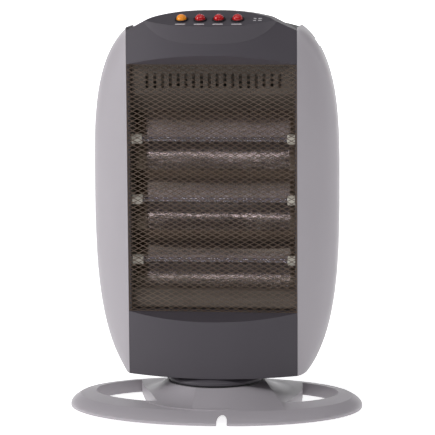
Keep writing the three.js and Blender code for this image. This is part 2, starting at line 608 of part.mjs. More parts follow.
function lamp(i) {
  const glass = cut(solid(rodX(LAMP_RADIUS, -glassHalf, glassHalf, 0, 0, 18)),
    rodX(LAMP_RADIUS - LAMP_WALL, -capEnd, capEnd, 0, 0, 18));
  const place = { at: [0, LAMP_Y, lampZ(i)] };
  const reach = capBore - FIT;
  const filament = rodX(FILAMENT_RADIUS, -reach, reach, 0, 0, 8);
  const caps = [-1, 1].map((side) => {
    const cap = cut(solid(rodX(CAP_RADIUS, lampSpan, capEnd, 0, 0, 18)),
      rodX(LAMP_RADIUS + FIT, 0, capBore, 0, 0, 18));
    return piece(`lamp_cap_${side < 0 ? 'left' : 'right'}_${i + 1}`, toGeometry(cap).scale(side, 1, 1),
      ceramic, place);
  });
  return [piece(`lamp_tube_${i + 1}`, glass, quartz, place),
    piece(`filament_${i + 1}`, filament, tungsten, place), ...caps];
}

// The reflector's section: a flange, one trough behind each lamp, and a flange with slots.
function reflectorLine() {
  const troughs = steps(LAMP_COUNT - 1, (_, i) => steps(8, (t) =>
    [REFLECTOR_CUSP_Y + TROUGH_DEPTH * (1 - (2 * t - 1) ** 2), firstTrough + (i + t) * lampPitch])
    .slice(i ? 1 : 0)).flat();
  return [[FLANGE_Y, panelLow], [FLANGE_Y, firstTrough - FLANGE_SLOPE], ...troughs,
    [FLANGE_Y, lastTrough + FLANGE_SLOPE], [FLANGE_Y, panelHigh]];
}

function reflector() {
  const line = reflectorLine();
  const behind = line.map(([y, z]) => [y + SHEET, z]).reverse();
  const slots = steps(SLOT_COUNT - 1, (_, i) => {
    const x = (i - (SLOT_COUNT - 1) / 2) * SLOT_PITCH;
    return block(x - SLOT_WIDTH / 2, x + SLOT_WIDTH / 2, FLANGE_Y - 2 * SHEET, FLANGE_Y + 2 * SHEET,
      WINDOW_TOP - SLOT_DROP - SLOT_HEIGHT, WINDOW_TOP - SLOT_DROP);
  });
  return piece('reflector', cut(solid(prismX([...line, ...behind], -reflectorHalf, reflectorHalf)), ...slots),
    polishedAluminium);
}

const shieldY = REFLECTOR_CUSP_Y + TROUGH_DEPTH + SHIELD_GAP;

function lampBracket(name, side) {
  const [front, back] = [FRAME_EDGE_Y + RAIL_DEPTH + FIT, shieldY - FIT];
  const holes = steps(LAMP_COUNT - 1, (_, i) => circle(CAP_RADIUS + FIT, LAMP_Y, lampZ(i), 18));
  const outline = [[front, panelLow], [back, panelLow], [back, panelHigh], [front, panelHigh]];
  return piece(name, prismX(outline, bracketX, bracketX + SHEET, holes).scale(side, 1, 1), steel);
}

function heatShield() {
  const half = bracketX + SHEET;
  return piece('heat_shield', block(-half, half, shieldY, shieldY + SHEET, panelLow, panelHigh), steel);
}

function thermalCutout() {
  const seat = shieldY + SHEET + FIT;
  const lug = CUTOUT_RADIUS + 3;
  const flange = block(-lug, lug, seat + 5, seat + 9, -5, 5);
  return piece('thermal_cutout', joined(rodY(CUTOUT_RADIUS, seat, seat + 6, 0, 0, 16), flange),
    blackPlastic, { at: [0, 0, WINDOW_TOP - CUTOUT_DROP] });
}

// ---------------------------------------------------------------- switches
function switchParts(i) {
  const holder = switchHolder(i);
  const body = joined(rod(SWITCH_RADIUS + SWITCH_LIP, FIT, SWITCH_BEZEL, 0, 0, 16),
    rod(SWITCH_RADIUS, -SWITCH_DEPTH, 1, 0, 0, 16));
  const cup = cut(body, rod(ROCKER_RADIUS + FIT, -ROCKER_RADIUS, 2 * SWITCH_BEZEL, 0, 0, 16));
  const number = i + 1;
  const tilt = number === RAISED_SWITCH ? ROCKER_TILT : -ROCKER_TILT;
  holder.add(piece(`switch_body_${number}`, cup, blackPlastic));
  holder.add(piece(`rocker_${number}`, rockerShape(), i ? redPlastic : orangePlastic,
    { at: [0, 0, SWITCH_BEZEL], turn: [rad(tilt), 0, 0] }));
  return holder;
}

// A slice of a ball round the pivot, so that it tips inside its round bore.
function rockerShape() {
  const side = steps(5, (t) => {
    const z = -ROCKER_DEPTH + (ROCKER_RISE + ROCKER_DEPTH) * t;
    return [Math.sqrt(ROCKER_RADIUS ** 2 - z * z), z];
  });
  return solid(turned([[0, -ROCKER_DEPTH], ...side, [0, ROCKER_RISE]], 16));
}

// ---------------------------------------------------------------- wiring
function looms() {
  const x = LOOM_X;
  const inY = shoulderY + WALL + 6;
  const [highGate, lowGate] = [WINDOW_TOP - GATE_DROP, WINDOW_BOTTOM + GATE_RISE];
  const wireZ = CHASSIS_SEAT + TERMINAL_HEIGHT / 2;
  const terminalEnd = TERMINAL_LENGTH / 2 + FIT;
  const wallY = [shoulderY - 1.5, shoulderY + WALL + 1.5];
  const gate = (side, z, up) => [[side * x, LAMP_Y + 2, z - 15 * up], [side * x, wallY[0] - 3, z - 3 * up],
    ...wallY.map((y) => [side * x, y, z]), [side * x, inY + 1, z + 8 * up]];
  const left = [[-x, LAMP_Y, lampZ(0)], [-x, LAMP_Y, lampZ(LAMP_COUNT - 1)], ...gate(-1, highGate, 1),
    [-x, inY + 1, highGate + 24], [13 - x, 20, highGate + 36], [37 - x, 6, highGate + 44],
    [61 - x, -12, highGate + 48], [69 - x, -27, highGate + 53]];
  const right = [[x, LAMP_Y, lampZ(LAMP_COUNT - 1)], [x, LAMP_Y, lampZ(0)], ...gate(1, lowGate, -1),
    [x - 4, 29, lowGate - 42], [x - 10, 30, wireZ + 15], [x - 20, TERMINAL_Y, wireZ + 1],
    [TERMINAL_X + terminalEnd, TERMINAL_Y, wireZ]];
  const supply = [[BUSH_X, REAR_Y - WALL - 6 - FIT, BUSH_Z], [BUSH_X + 3, 33, BUSH_Z + 1],
    [BUSH_X + 28, 29, BUSH_Z - 3], [0, 29, wireZ + 6], [TERMINAL_X - terminalEnd - 12, TERMINAL_Y, wireZ + 1],
    [TERMINAL_X - terminalEnd, TERMINAL_Y, wireZ]];
  return [['left', left], ['right', right], ['supply', supply]].map(([name, path]) =>
    piece(`loom_${name}`, tube(path, LOOM_RADIUS, 6, 2), sleeve));
}

// ---------------------------------------------------------------- swivel
const armTop = BODY_BOTTOM - NECK_ROOF - 3 * FIT;
const armLow = armTop - ARM_THICKNESS;
const postTop = CHASSIS_TOP + POST_REACH;
const far = 99; // beyond every face of the swivel

function neck() {
  const top = BODY_BOTTOM - FIT;
  const inner = NECK_RADIUS - NECK_SKIRT;
  const profile = [[0, top], [NECK_RADIUS - NECK_TAPER, top], [NECK_RADIUS, NECK_BOTTOM + 2],
    [NECK_RADIUS, NECK_BOTTOM], [inner, NECK_BOTTOM], [inner - 2, top - NECK_ROOF], [0, top - NECK_ROOF]];
  return piece('neck', cut(solid(turned(profile, 32)), rod(POST_RADIUS + 2 * FIT, 0, far),
    rod(SHAFT_RADIUS + 1, 0, far, 0, -MOTOR_OFFSET)), darkPlastic);
}

function chassisPlate() {
  const half = CHASSIS_HALF;
  const [nose, front, back] = [FRAME_CROWN_Y + 9, FRAME_EDGE_Y - 4, REAR_Y - 12];
  const plan = [[10 - half, front], [-MOTOR_RADIUS - 8, nose], [MOTOR_RADIUS + 8, nose], [half - 10, front],
    [half, back], [-half, back]];
  return piece('chassis_plate', prismZ(plan, CHASSIS_BOTTOM, CHASSIS_TOP,
    [circle(POST_RADIUS + 2 * FIT), circle(SHAFT_RADIUS + 1, 0, -MOTOR_OFFSET)]), steel);
}

function motor() {
  const canLow = postTop + 1;
  const shape = joined(rod(MOTOR_RADIUS, canLow, canLow + MOTOR_HEIGHT, 0, 0, 24),
    rod(PILOT_RADIUS, CHASSIS_SEAT, canLow + 1, 0, 0, 16),
    rod(SHAFT_RADIUS, armLow + FIT, CHASSIS_SEAT + 1, 0, 0, 12));
  return piece('swing_motor', shape, steel, { at: [0, -MOTOR_OFFSET, 0] });
}

function crank() {
  const [hub, tip] = [SHAFT_RADIUS + 4, PIN_RADIUS + 2.5];
  const arm = [...steps(8, (t) => [hub * Math.cos(Math.PI * t), hub * Math.sin(Math.PI * t)]),
    ...steps(8, (t) => [-tip * Math.cos(Math.PI * t), -CRANK_RADIUS - tip * Math.sin(Math.PI * t)])];
  const pin = rod(PIN_RADIUS, WELL_FLOOR + 2 * FIT, armLow + 1, 0, -CRANK_RADIUS, 14);
  const shape = cut(joined(prismZ(arm, armLow, armTop), pin), rod(SHAFT_RADIUS + FIT, 0, far, 0, 0, 16));
  return piece('crank', shape, steel, { at: [0, -MOTOR_OFFSET, 0] });
}

function slotPlate() {
  const half = PIN_RADIUS + PIN_PLAY + FIT;
  const near = MOTOR_OFFSET - CRANK_RADIUS;
  const slot = [...steps(8, (t) => [half * Math.cos(Math.PI * t), -near + half * Math.sin(Math.PI * t)]),
    ...steps(8, (t) => [-half * Math.cos(Math.PI * t), -PIN_REST - half * Math.sin(Math.PI * t)])];
  const low = WELL_FLOOR + FIT;
  return piece('slot_plate', prismZ(circle(WELL_RADIUS - FIT, 0, 0, 36), low, low + SLOT_PLATE_THICKNESS,
    [circle(POST_RADIUS + FIT, 0, 0, 18).reverse(), slot.reverse()]), steel);
}

function pivotPost() {
  const headTop = WELL_FLOOR - WALL - FIT;
  return piece('pivot_post', joined(rod(POST_RADIUS + 4, headTop - POST_HEAD, headTop, 0, 0, 6),
    rod(POST_RADIUS, headTop - 1, postTop, 0, 0, 20)), steel);
}

function pivotHardware() {
  const washerTop = CHASSIS_SEAT + 1.6;
  const ring = (radius, sides, low, high) =>
    prismZ(circle(radius, 0, 0, sides), low, high, [circle(POST_RADIUS + FIT, 0, 0, 18)]);
  return [piece('pivot_washer', ring(POST_RADIUS + 7, 24, CHASSIS_SEAT, washerTop), steel),
    piece('pivot_nut', ring(POST_RADIUS + 4, 6, washerTop + FIT, washerTop + NUT_HEIGHT), steel)];
}

function terminalBlock() {
  const [half, deep] = [TERMINAL_LENGTH / 2, TERMINAL_DEPTH / 2];
  const top = CHASSIS_SEAT + TERMINAL_HEIGHT;
  const towers = steps(2, (t) =>
    rod(3, top - 1, top + 4, TERMINAL_X + half * 0.66 * (2 * t - 1), TERMINAL_Y, 10));
  return piece('terminal_block', joined(block(TERMINAL_X - half, TERMINAL_X + half, TERMINAL_Y - deep,
    TERMINAL_Y + deep, CHASSIS_SEAT, top), ...towers), whitePlastic);
}

// ---------------------------------------------------------------- ring base
// The bridge between the two openings, narrower at the front left.
function bridgeOutline(grow) {
  const past = 20;
  const edge = (side, widths) => [OPENING_FRONT, 0, OPENING_BACK]
    .map((y, i) => [side * (HUB_RADIUS + widths[i] + grow), y]);
  const [left, right] = [edge(-1, BRIDGE_LEFT), edge(1, BRIDGE_RIGHT)];
  return [[left[0][0], OPENING_FRONT - past], [right[0][0], OPENING_FRONT - past], ...right,
    [right[2][0], OPENING_BACK + past], [left[2][0], OPENING_BACK + past], ...left.reverse()];
}

function ringOpenings(grow) {
  const half = (OPENING_BACK - OPENING_FRONT) / 2;
  const ring = prismZ(superellipse(OPENING_HALF + grow, half + grow, RING_POWER, RING_SIDES, OPENING_Y),
    -10, HUB_TOP + 20);
  return cut(solid(ring), prismZ(bridgeOutline(-grow), -20, HUB_TOP + 40));
}

function baseForm(inset) {
  const [a, b] = [RING_LENGTH / 2 - inset, RING_DEPTH / 2 - inset];
  const low = inset ? -5 : RING_BOTTOM;
  const openingHalf = (OPENING_BACK - OPENING_FRONT) / 2;
  const rings = [[low, 0, 0, 0], [RING_BOTTOM + 3, 0, 0, 0],
    [RING_HEIGHT * 0.6 - inset, CREASE_IN_X * 0.35, CREASE_IN_Y * 0.45, 0],
    [CREASE_Z - inset, CREASE_IN_X, CREASE_IN_Y, 0],
    [RING_HEIGHT - inset, a - OPENING_HALF, b - openingHalf, OPENING_Y]];
  const ring = lofted(rings.map(([z, inX, inY, y]) =>
    ({ z, points: superellipse(a - inX, b - inY, RING_POWER, RING_SIDES, y) })));
  const top = HUB_TOP - inset;
  const rise = HUB_TOP - RING_HEIGHT;
  const flank = steps(4, (t) => [HUB_RADIUS - inset + HUB_SPREAD * t, top - rise * (1 - (1 - t) ** 2)]);
  const hub = turned([[0, low], [HUB_RADIUS - inset + HUB_SPREAD, low], ...flank.reverse(), [0, top]], 36);
  return joined(ring, hub, ramp(inset, low));
}

// A ramp fanned from the hub's edge down to the crease of the ring's front.
function ramp(inset, low) {
  const radius = HUB_RADIUS - inset;
  const [creaseA, creaseB] = [RING_LENGTH / 2 - CREASE_IN_X, RING_DEPTH / 2 - CREASE_IN_Y];
  const creaseY = (x) => -creaseB * (1 - (Math.abs(x) / creaseA) ** RING_POWER) ** (1 / RING_POWER);
  const start = -Math.acos((RAMP_LEFT + inset) / radius);
  const rays = steps(10, (t) => {
    const angle = start * (1 - t);
    const x = RAMP_LEFT + inset + (RAMP_RIGHT - RAMP_LEFT - 2 * inset) * t;
    return { edge: [radius * Math.cos(angle), radius * Math.sin(angle)], toe: [x, creaseY(x) + inset] };
  });
  const within = rays.map(({ edge }) => edge.map((value) => value / 2)).reverse();
  const toes = [...rays.map(({ toe }) => toe), ...within];
  return lofted([{ z: low, points: toes }, { z: CREASE_Z - inset, points: toes },
    { z: HUB_TOP - inset, points: [...rays.map(({ edge }) => edge), ...within] }]);
}

const [footX, footFront, footBack] = [RING_LENGTH / 2 - FOOT_SIDE_IN, FOOT_FRONT_IN - RING_DEPTH / 2,
  RING_DEPTH / 2 - FOOT_BACK_IN];
const footPlaces = [footFront, footBack].flatMap((y) => [[-footX, y], [footX, y]]);
const wellOuter = WELL_RADIUS + WALL;
const bossPlaces = [40, 140, 220, 320].map((angle) =>
  [Math.cos(rad(angle)), Math.sin(rad(angle))].map((value) => value * (wellOuter + BOSS_REACH)));

function baseRing() {
  const well = rod(wellOuter, WELL_FLOOR - WALL, HUB_TOP + 20, 0, 0, 36);
  const inside = cut(baseForm(WALL), ringOpenings(WALL), well);
  const [notchHalf, notchBack] = [NOTCH_WIDTH / 2, NOTCH_DEPTH - RING_DEPTH / 2];
  const archZ = NOTCH_HEIGHT - notchHalf;
  const notch = joined(block(NOTCH_X - notchHalf, NOTCH_X + notchHalf, -RING_DEPTH, notchBack, -1, archZ),
    rodY(notchHalf, -RING_DEPTH, notchBack, NOTCH_X, archZ, 16));
  const filled = baseForm(1);
  const bosses = [...footPlaces.map(([x, y]) => rod(FOOT_RADIUS, FOOT_HEIGHT, HUB_TOP, x, y, 14)),
    ...bossPlaces.map(([x, y]) => rod(BOSS_RADIUS, COVER_TOP + FIT, HUB_TOP, x, y, 10))]
    .map((boss) => solid(boss).intersect(filled));
  const shell = cut(baseForm(0), inside, ringOpenings(0), notch,
    rod(WELL_RADIUS, WELL_FLOOR, HUB_TOP + 20, 0, 0, 36), rod(POST_RADIUS + FIT, 0, HUB_TOP, 0, 0, 18));
  return piece('base_ring', bosses.reduce((a, b) => a.add(b), shell), lightPlastic);
}

function foot(i) {
  const [x, y] = footPlaces[i];
  const [r, top] = [FOOT_RADIUS, FOOT_HEIGHT - FIT];
  return piece(`foot_${i + 1}`, turned([[0, 0], [r - 1, 0], [r, 1], [r, top], [0, top]], 16), rubber,
    { at: [x, y, 0] });
}

// The cover closes the bridge from below, inside its walls.
function baseCover() {
  const inside = -WALL - 2 * FIT;
  const strip = block(-RING_LENGTH, RING_LENGTH, OPENING_FRONT + COVER_IN, OPENING_BACK - COVER_IN,
    COVER_LOW, COVER_TOP);
  const plate = solid(prismZ(bridgeOutline(inside), COVER_LOW - 1, COVER_TOP + 1)).intersect(solid(strip));
  return piece('base_cover', cut(plate, rod(PLUNGER_RADIUS + 2 * FIT, 0, HUB_TOP, TIP_X, TIP_Y, 14)),
    blackPlastic);
}

function tipSwitch() {
  const seat = COVER_TOP + FIT;
  const bore = rod(PLUNGER_RADIUS + FIT, 0, PLUNGER_LENGTH + FIT, TIP_X, TIP_Y, 14);
  const casing = block(TIP_X - TIP_LENGTH / 2, TIP_X + TIP_LENGTH / 2,
    TIP_Y - TIP_WIDTH / 2, TIP_Y + TIP_WIDTH / 2, seat, seat + TIP_HEIGHT);
  const plunger = [[0, 0], [PLUNGER_RADIUS - 1, 0], [PLUNGER_RADIUS, 1],
    [PLUNGER_RADIUS, PLUNGER_LENGTH], [0, PLUNGER_LENGTH]];
  return [piece('tip_switch', cut(solid(casing), bore), blackPlastic),
    piece('tip_plunger', turned(plunger, 14), whitePlastic, { at: [TIP_X, TIP_Y, 0] })];
}

function slideRing() {
  const [inner, outer] = [WELL_RADIUS + 1.5, NECK_RADIUS - 1];
  return piece('slide_ring', prismZ(circle(outer, 0, 0, 36), HUB_TOP + FIT, NECK_BOTTOM - FIT,
    [circle(inner, 0, 0, 36)]), blackPlastic);
}

// ---------------------------------------------------------------- assembly
const each = (count, make) => steps(count - 1, (_, i) => make(i));

const base = new THREE.Group();
base.add(baseRing(), baseCover(), ...each(4, foot), slotPlate(), pivotPost(), ...pivotHardware(), slideRing(),
  ...tipSwitch());

const body = new THREE.Group();
body.add(frontFrame(), sidePanel('side_panel_left', -1), sidePanel('side_panel_right', 1), rearHousing(),
  ...each(4, rearScrew), cordBush(), guard(), reflector(), lampBracket('lamp_bracket_left', -1),
  lampBracket('lamp_bracket_right', 1), heatShield(), thermalCutout(), ...each(LAMP_COUNT, lamp).flat(),
  ...each(SWITCH_COUNT, switchParts), ...looms(), neck(), chassisPlate(), motor(), crank(), terminalBlock());

const heater = new THREE.Group();
heater.add(base, body);
export default heater;
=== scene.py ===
"""An oscillating halogen heater, dressed round its measured frame.

The body is a dark front frame between two light side panels, with a black housing behind. Three
quartz lamps lie in a polished reflector behind an expanded-metal guard, and four rocker switches
stand on the domed top. It swings on an oval ring base. Lengths are millimetres until a piece is
finished, and the front faces -Y.
"""

import json
from math import acos, copysign, cos, hypot, pi, radians, sin, sqrt, tan

import bmesh
import bpy
from mathutils import Matrix, Vector


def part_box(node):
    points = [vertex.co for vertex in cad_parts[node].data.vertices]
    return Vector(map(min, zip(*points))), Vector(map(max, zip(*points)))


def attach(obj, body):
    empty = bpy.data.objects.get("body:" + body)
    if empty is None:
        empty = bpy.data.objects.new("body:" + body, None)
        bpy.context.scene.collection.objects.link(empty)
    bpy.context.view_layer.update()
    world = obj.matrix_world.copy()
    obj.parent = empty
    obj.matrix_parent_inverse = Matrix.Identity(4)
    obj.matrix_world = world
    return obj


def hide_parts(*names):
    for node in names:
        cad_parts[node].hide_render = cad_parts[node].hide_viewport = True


bl_info = {
    "name": "Halogen Heater",
    "version": (1, 0, 0),
    "blender": (4, 5, 0),
    "location": "View3D > Sidebar > Heater",
    "description": "Builds an oscillating halogen heater round its measured frame",
    "category": "Add Mesh",
}

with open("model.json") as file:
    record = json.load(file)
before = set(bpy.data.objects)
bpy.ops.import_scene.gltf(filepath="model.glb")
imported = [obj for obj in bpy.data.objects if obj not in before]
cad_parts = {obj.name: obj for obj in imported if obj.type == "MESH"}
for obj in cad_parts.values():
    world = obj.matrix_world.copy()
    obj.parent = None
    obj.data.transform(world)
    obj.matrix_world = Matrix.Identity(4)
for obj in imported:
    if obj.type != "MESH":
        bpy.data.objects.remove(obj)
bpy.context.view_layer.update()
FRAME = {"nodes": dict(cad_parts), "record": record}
MM = 0.001


def reach(node):
    """Lowest and highest corner of a frame node, in millimetres."""
    return [[value / MM for value in corner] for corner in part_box(node)]


# ---- sizes
# read from the frame
FRONT_LOW, FRONT_HIGH = reach("front_frame")
NET_LOW, NET_HIGH = reach("guard")
RING_LOW, RING_HIGH = reach("base_ring")
NECK_LOW, NECK_HIGH = reach("neck")
MIRROR_LOW, MIRROR_HIGH = reach("reflector")
TUBE_LOW, TUBE_HIGH = reach("lamp_tube_1")
CAP_LOW, CAP_HIGH = reach("lamp_cap_right_1")
PANEL_HIGH = reach("side_panel_right")[1]
REAR_Y = reach("rear_housing")[1][1]
HALF, FRAME_BACK, DOME_TOP = FRONT_HIGH  # half the front frame's width, its back and its top
BODY_HALF, PANEL_BACK, PANEL_TOP = PANEL_HIGH
BODY_LOW = FRONT_LOW[2]

# shared by the pieces
FIT = 0.3  # clearance between neighbours
WALL = 2.5  # thickness of the mouldings
OVERRUN = 30  # how far a cutter goes past what it cuts
BODY_TOP = DOME_TOP - 2
WAIST_DROP = 205  # from the top down to the widest height
WAIST = BODY_TOP - WAIST_DROP
SIDE_RUN_OUT = 32  # how far below the body the curves of its sides would meet
LOWER_REACH = WAIST - BODY_LOW + SIDE_RUN_OUT
EDGE_Y = NET_LOW[1] - 0.5  # the front frame's side edges
CROWN = 27  # how far its front bulges between them
CROWN_Y = EDGE_Y - CROWN
CROWN_RADIUS = (HALF ** 2 + CROWN ** 2) / (2 * CROWN)
WINDOW_LOW, WINDOW_HIGH = NET_LOW[2] - FIT, NET_HIGH[2] + FIT
LIP_FALL, LIP_RISE = 8, 12  # lean of the window's lips over the depth of the crown
DOME_DROP, DOME_TIP_DROP, DOME_TIP_WIDTH = 8, 15.5, 30
POD_Z = WINDOW_HIGH + 26
POD_FLARE = 0.24  # how much the pod leans out for each millimetre of height
POD_MARGIN, POD_DEPTH = 29.4, 28
PLATE_Z = POD_Z + 21  # front edge of the sloping plate
PLATE_TILT = radians(20)
PLATE_EDGE_Y = CROWN_Y - POD_FLARE * (PLATE_Z - POD_Z)
SWITCHES = range(1, 5)
SWITCH_PITCH, SWITCH_SETBACK, SWITCH_HOLE_RADIUS = 22.4, 20, 7.6
REAR_TOP = BODY_TOP - 22
REAR_TOP_CROWN = 16
PANEL_CORNER_Y = 14  # where a side panel turns from its curved front to its straight side
NECK_HOLE_RADIUS = 45.5


# ---- forms
def steps(count, start=0.0, end=1.0):
    """count + 1 evenly spaced numbers from start to end."""
    return [start + (end - start) * i / count for i in range(count + 1)]


def raised(outline, z):
    """An outline's points at a height."""
    return [(x, y, z) for x, y in outline]


def arc(x, y, radius, start, end, count):
    """Points of an arc about a middle, between two angles."""
    return [(x + radius * cos(turn), y + radius * sin(turn)) for turn in steps(count, start, end)]


def form(points, faces):
    """A closed shape as a scene object, with its faces turned outwards."""
    mesh = bpy.data.meshes.new("form")
    mesh.from_pydata([tuple(point) for point in points], [], faces)
    work = bmesh.new()
    work.from_mesh(mesh)
    bmesh.ops.recalc_face_normals(work, faces=work.faces)
    work.to_mesh(mesh)
    work.free()
    shape = bpy.data.objects.new("form", mesh)
    bpy.context.scene.collection.objects.link(shape)
    return shape


def skin(rings):
    """A form over rings of equal length, with an end face on the first and the last."""
    count = len(rings[0])
    faces = [tuple(reversed(range(count)))]
    for level in range(len(rings) - 1):
        base = level * count
        for i in range(count):
            after = (i + 1) % count
            faces.append((base + i, base + after, base + after + count, base + i + count))
    faces.append(tuple(range(len(rings) * count - count, len(rings) * count)))
    return form([point for ring in rings for point in ring], faces)


def slab(outline, low, high, axis=2):
    """An outline in the two other axes, carried along one axis."""
    def put(point, along):
        values = list(point)
        values.insert(axis, along)
        return values
    return skin([[put(point, level) for point in outline] for level in (low, high)])


def box_form(low, high):
    """A plain box between two corners."""
    corners = [(low[0], low[1]), (high[0], low[1]), (high[0], high[1]), (low[0], high[1])]
    return slab(corners, low[2], high[2])


def spun(profile, sides=64, place=Matrix()):
    """A form turned from (radius, height) pairs that start and end on the axis."""
    points, rings, faces = [], [], []
    for radius, height in profile:
        turns = [0.0] if radius < 1e-6 else [2 * pi * i / sides for i in range(sides)]
        rings.append(list(range(len(points), len(points) + len(turns))))
        points += [place @ Vector((radius * cos(turn), radius * sin(turn), height)) for turn in turns]
    for low, high in zip(rings, rings[1:]):
        if len(low) == 1 and len(high) == 1:
            continue
        for i in range(sides):
            after = (i + 1) % sides
            corners = [low[i % len(low)], low[after % len(low)],
                       high[after % len(high)], high[i % len(high)]]
            faces.append(tuple(dict.fromkeys(corners)))
    return form(points, faces)


def spun_ring(profile, sides, place=Matrix()):
    """A form turned from a closed section that stays off the axis."""
    section = profile[:-1]
    count = len(section)
    turns = [2 * pi * i / sides for i in range(sides)]
    points = [place @ Vector((radius * cos(turn), radius * sin(turn), height))
              for turn in turns for radius, height in section]
    faces = []
    for i in range(sides):
        here, there = i * count, (i + 1) % sides * count
        faces += [(here + k, there + k, there + (k + 1) % count, here + (k + 1) % count)
                  for k in range(count)]
    return form(points, faces)


def rod_form(radius, low, high, place=Matrix(), sides=48):
    """A plain round rod between two heights."""
    return spun([(0, low), (radius, low), (radius, high), (0, high)], sides, place)


def lying(x, y, z):
    """Turns a spun form so that its height runs along +X from a place."""
    return Matrix.Translation((x, y, z)) @ Matrix.Rotation(pi / 2, 4, "Y")


def facing_back(x, y, z):
    """Turns a spun form so that its height runs along +Y from a place."""
    return Matrix.Translation((x, y, z)) @ Matrix.Rotation(-pi / 2, 4, "X")


def mirrored(shape):
    """The form seen in a mirror across X."""
    shape.data.transform(Matrix.Scale(-1, 4, (1, 0, 0)))
    shape.data.flip_normals()
    return shape


def applied(shape):
    """Bake a form's modifiers into its mesh."""
    depsgraph = bpy.context.evaluated_depsgraph_get()
    depsgraph.update()
    mesh = bpy.data.meshes.new_from_object(shape.evaluated_get(depsgraph), depsgraph=depsgraph)
    shape.modifiers.clear()
    shape.data = mesh
    return shape


def combined(shape, operation, tools):
    """Cut, join or intersect a form with others, which are used up."""
    for tool in tools:
        change = shape.modifiers.new("change", "BOOLEAN")
        change.operation, change.solver, change.object = operation, "MANIFOLD", tool
    applied(shape)
    for tool in tools:
        bpy.data.objects.remove(tool)
    return shape


def cut(shape, *tools):
    """The form without the tools."""
    return combined(shape, "DIFFERENCE", tools)


def joined(shape, *tools):
    """The form and the tools in one."""
    return combined(shape, "UNION", tools)


def within(shape, *tools):
    """What the form shares with each tool."""
    return combined(shape, "INTERSECT", tools)


def finished(shape, name, finish, body, stands_for=(), softness=0.0, corner=30):
    """Soften a form's edges, and make it a piece in metres that rides on a body."""
    shape.data.shade_smooth()
    shape.data.set_sharp_from_angle(angle=radians(corner))
    if softness:
        bevel = shape.modifiers.new("bevel", "BEVEL")
        bevel.width, bevel.segments, bevel.limit_method = softness, 3, "ANGLE"
        bevel.angle_limit, bevel.harden_normals = radians(corner), True
    applied(shape)
    shape.data.transform(Matrix.Scale(MM, 4))
    shape.name = shape.data.name = name
    shape.data.materials.clear()
    shape.data.materials.append(finish)
    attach(shape, body)
    if stands_for:
        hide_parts(*stands_for)
    return shape


# ---- shared outlines
def half_width(z):
    """Half the body's width at a height."""
    span = WAIST_DROP if z > WAIST else LOWER_REACH
    return BODY_HALF * max(0.0, 1 - (abs(z - WAIST) / span) ** 3) ** 0.25


def front_y(x, inset=0.0):
    """The front surface of the frame at a distance from the middle."""
    return CROWN_Y + CROWN_RADIUS - sqrt((CROWN_RADIUS - inset) ** 2 - x * x)


def dome_z(x):
    """The dome's height at a distance from the middle."""
    away, shoulder = abs(x), HALF - DOME_TIP_WIDTH
    if away <= shoulder:
        return DOME_TOP - DOME_DROP * (away / shoulder) ** 2.5
    return DOME_TOP - DOME_DROP - DOME_TIP_DROP * (away - shoulder) / DOME_TIP_WIDTH


def oval(a, b, power, count, centre_y=0.0):
    """Points of a superellipse, from +X round over the back."""
    turns = [2 * pi * i / count for i in range(count)]
    return [(a * copysign(abs(cos(t)) ** (2 / power), cos(t)),
             centre_y + b * copysign(abs(sin(t)) ** (2 / power), sin(t))) for t in turns]


# ---- shader maths
MIX_FACTOR, MIX_LOW, MIX_HIGH, MIX_RESULT = 0, 6, 7, 2  # a Mix node's sockets for colours


class Signal:
    """A shader socket that takes part in Python arithmetic."""

    def __init__(self, nodes, socket):
        self.nodes, self.socket = nodes, socket

    def _with(self, operation, *values):
        """The signal of a Math node on these values."""
        return self.nodes.node("ShaderNodeMath", {"operation": operation}, dict(enumerate(values)))

    def __add__(self, other):
        return self._with("ADD", self, other)

    def __sub__(self, other):
        return self._with("SUBTRACT", self, other)

    def __rsub__(self, other):
        return self._with("SUBTRACT", other, self)

    def __mul__(self, other):
        return self._with("MULTIPLY", self, other)

    __radd__ = __add__
    __rmul__ = __mul__


class Nodes:
    """A shader's node tree, added to one node at a time."""

    def __init__(self, tree):
        self.tree = tree

    def feed(self, socket, value):
        """Link a socket to a signal, or set its value."""
        if isinstance(value, Signal):
            self.tree.links.new(value.socket, socket)
        else:
            socket.default_value = value

    def node(self, kind, settings=None, values=None, out=0):
        """Add a node: its settings first, then the values or links of its sockets."""
        node = self.tree.nodes.new(kind)
        for setting, value in (settings or {}).items():
            setattr(node, setting, value)
        for socket, value in (values or {}).items():
            self.feed(node.inputs[socket], value)
        return Signal(self, node.outputs[out])

    def between(self, factor, low, high):
        """A colour that runs from low to high, each a colour or a signal."""
        low, high = [end if isinstance(end, Signal) else (*end[:3], 1) for end in (low, high)]
        return self.node("ShaderNodeMix", {"data_type": "RGBA"},
                         {MIX_FACTOR: factor, MIX_LOW: low, MIX_HIGH: high}, MIX_RESULT)

    def rising(self, value, low, high):
        """A share that goes from 0 to 1 as a value goes from low to high."""
        return self.node("ShaderNodeMapRange", {}, {"Value": value, "From Min": low, "From Max": high})


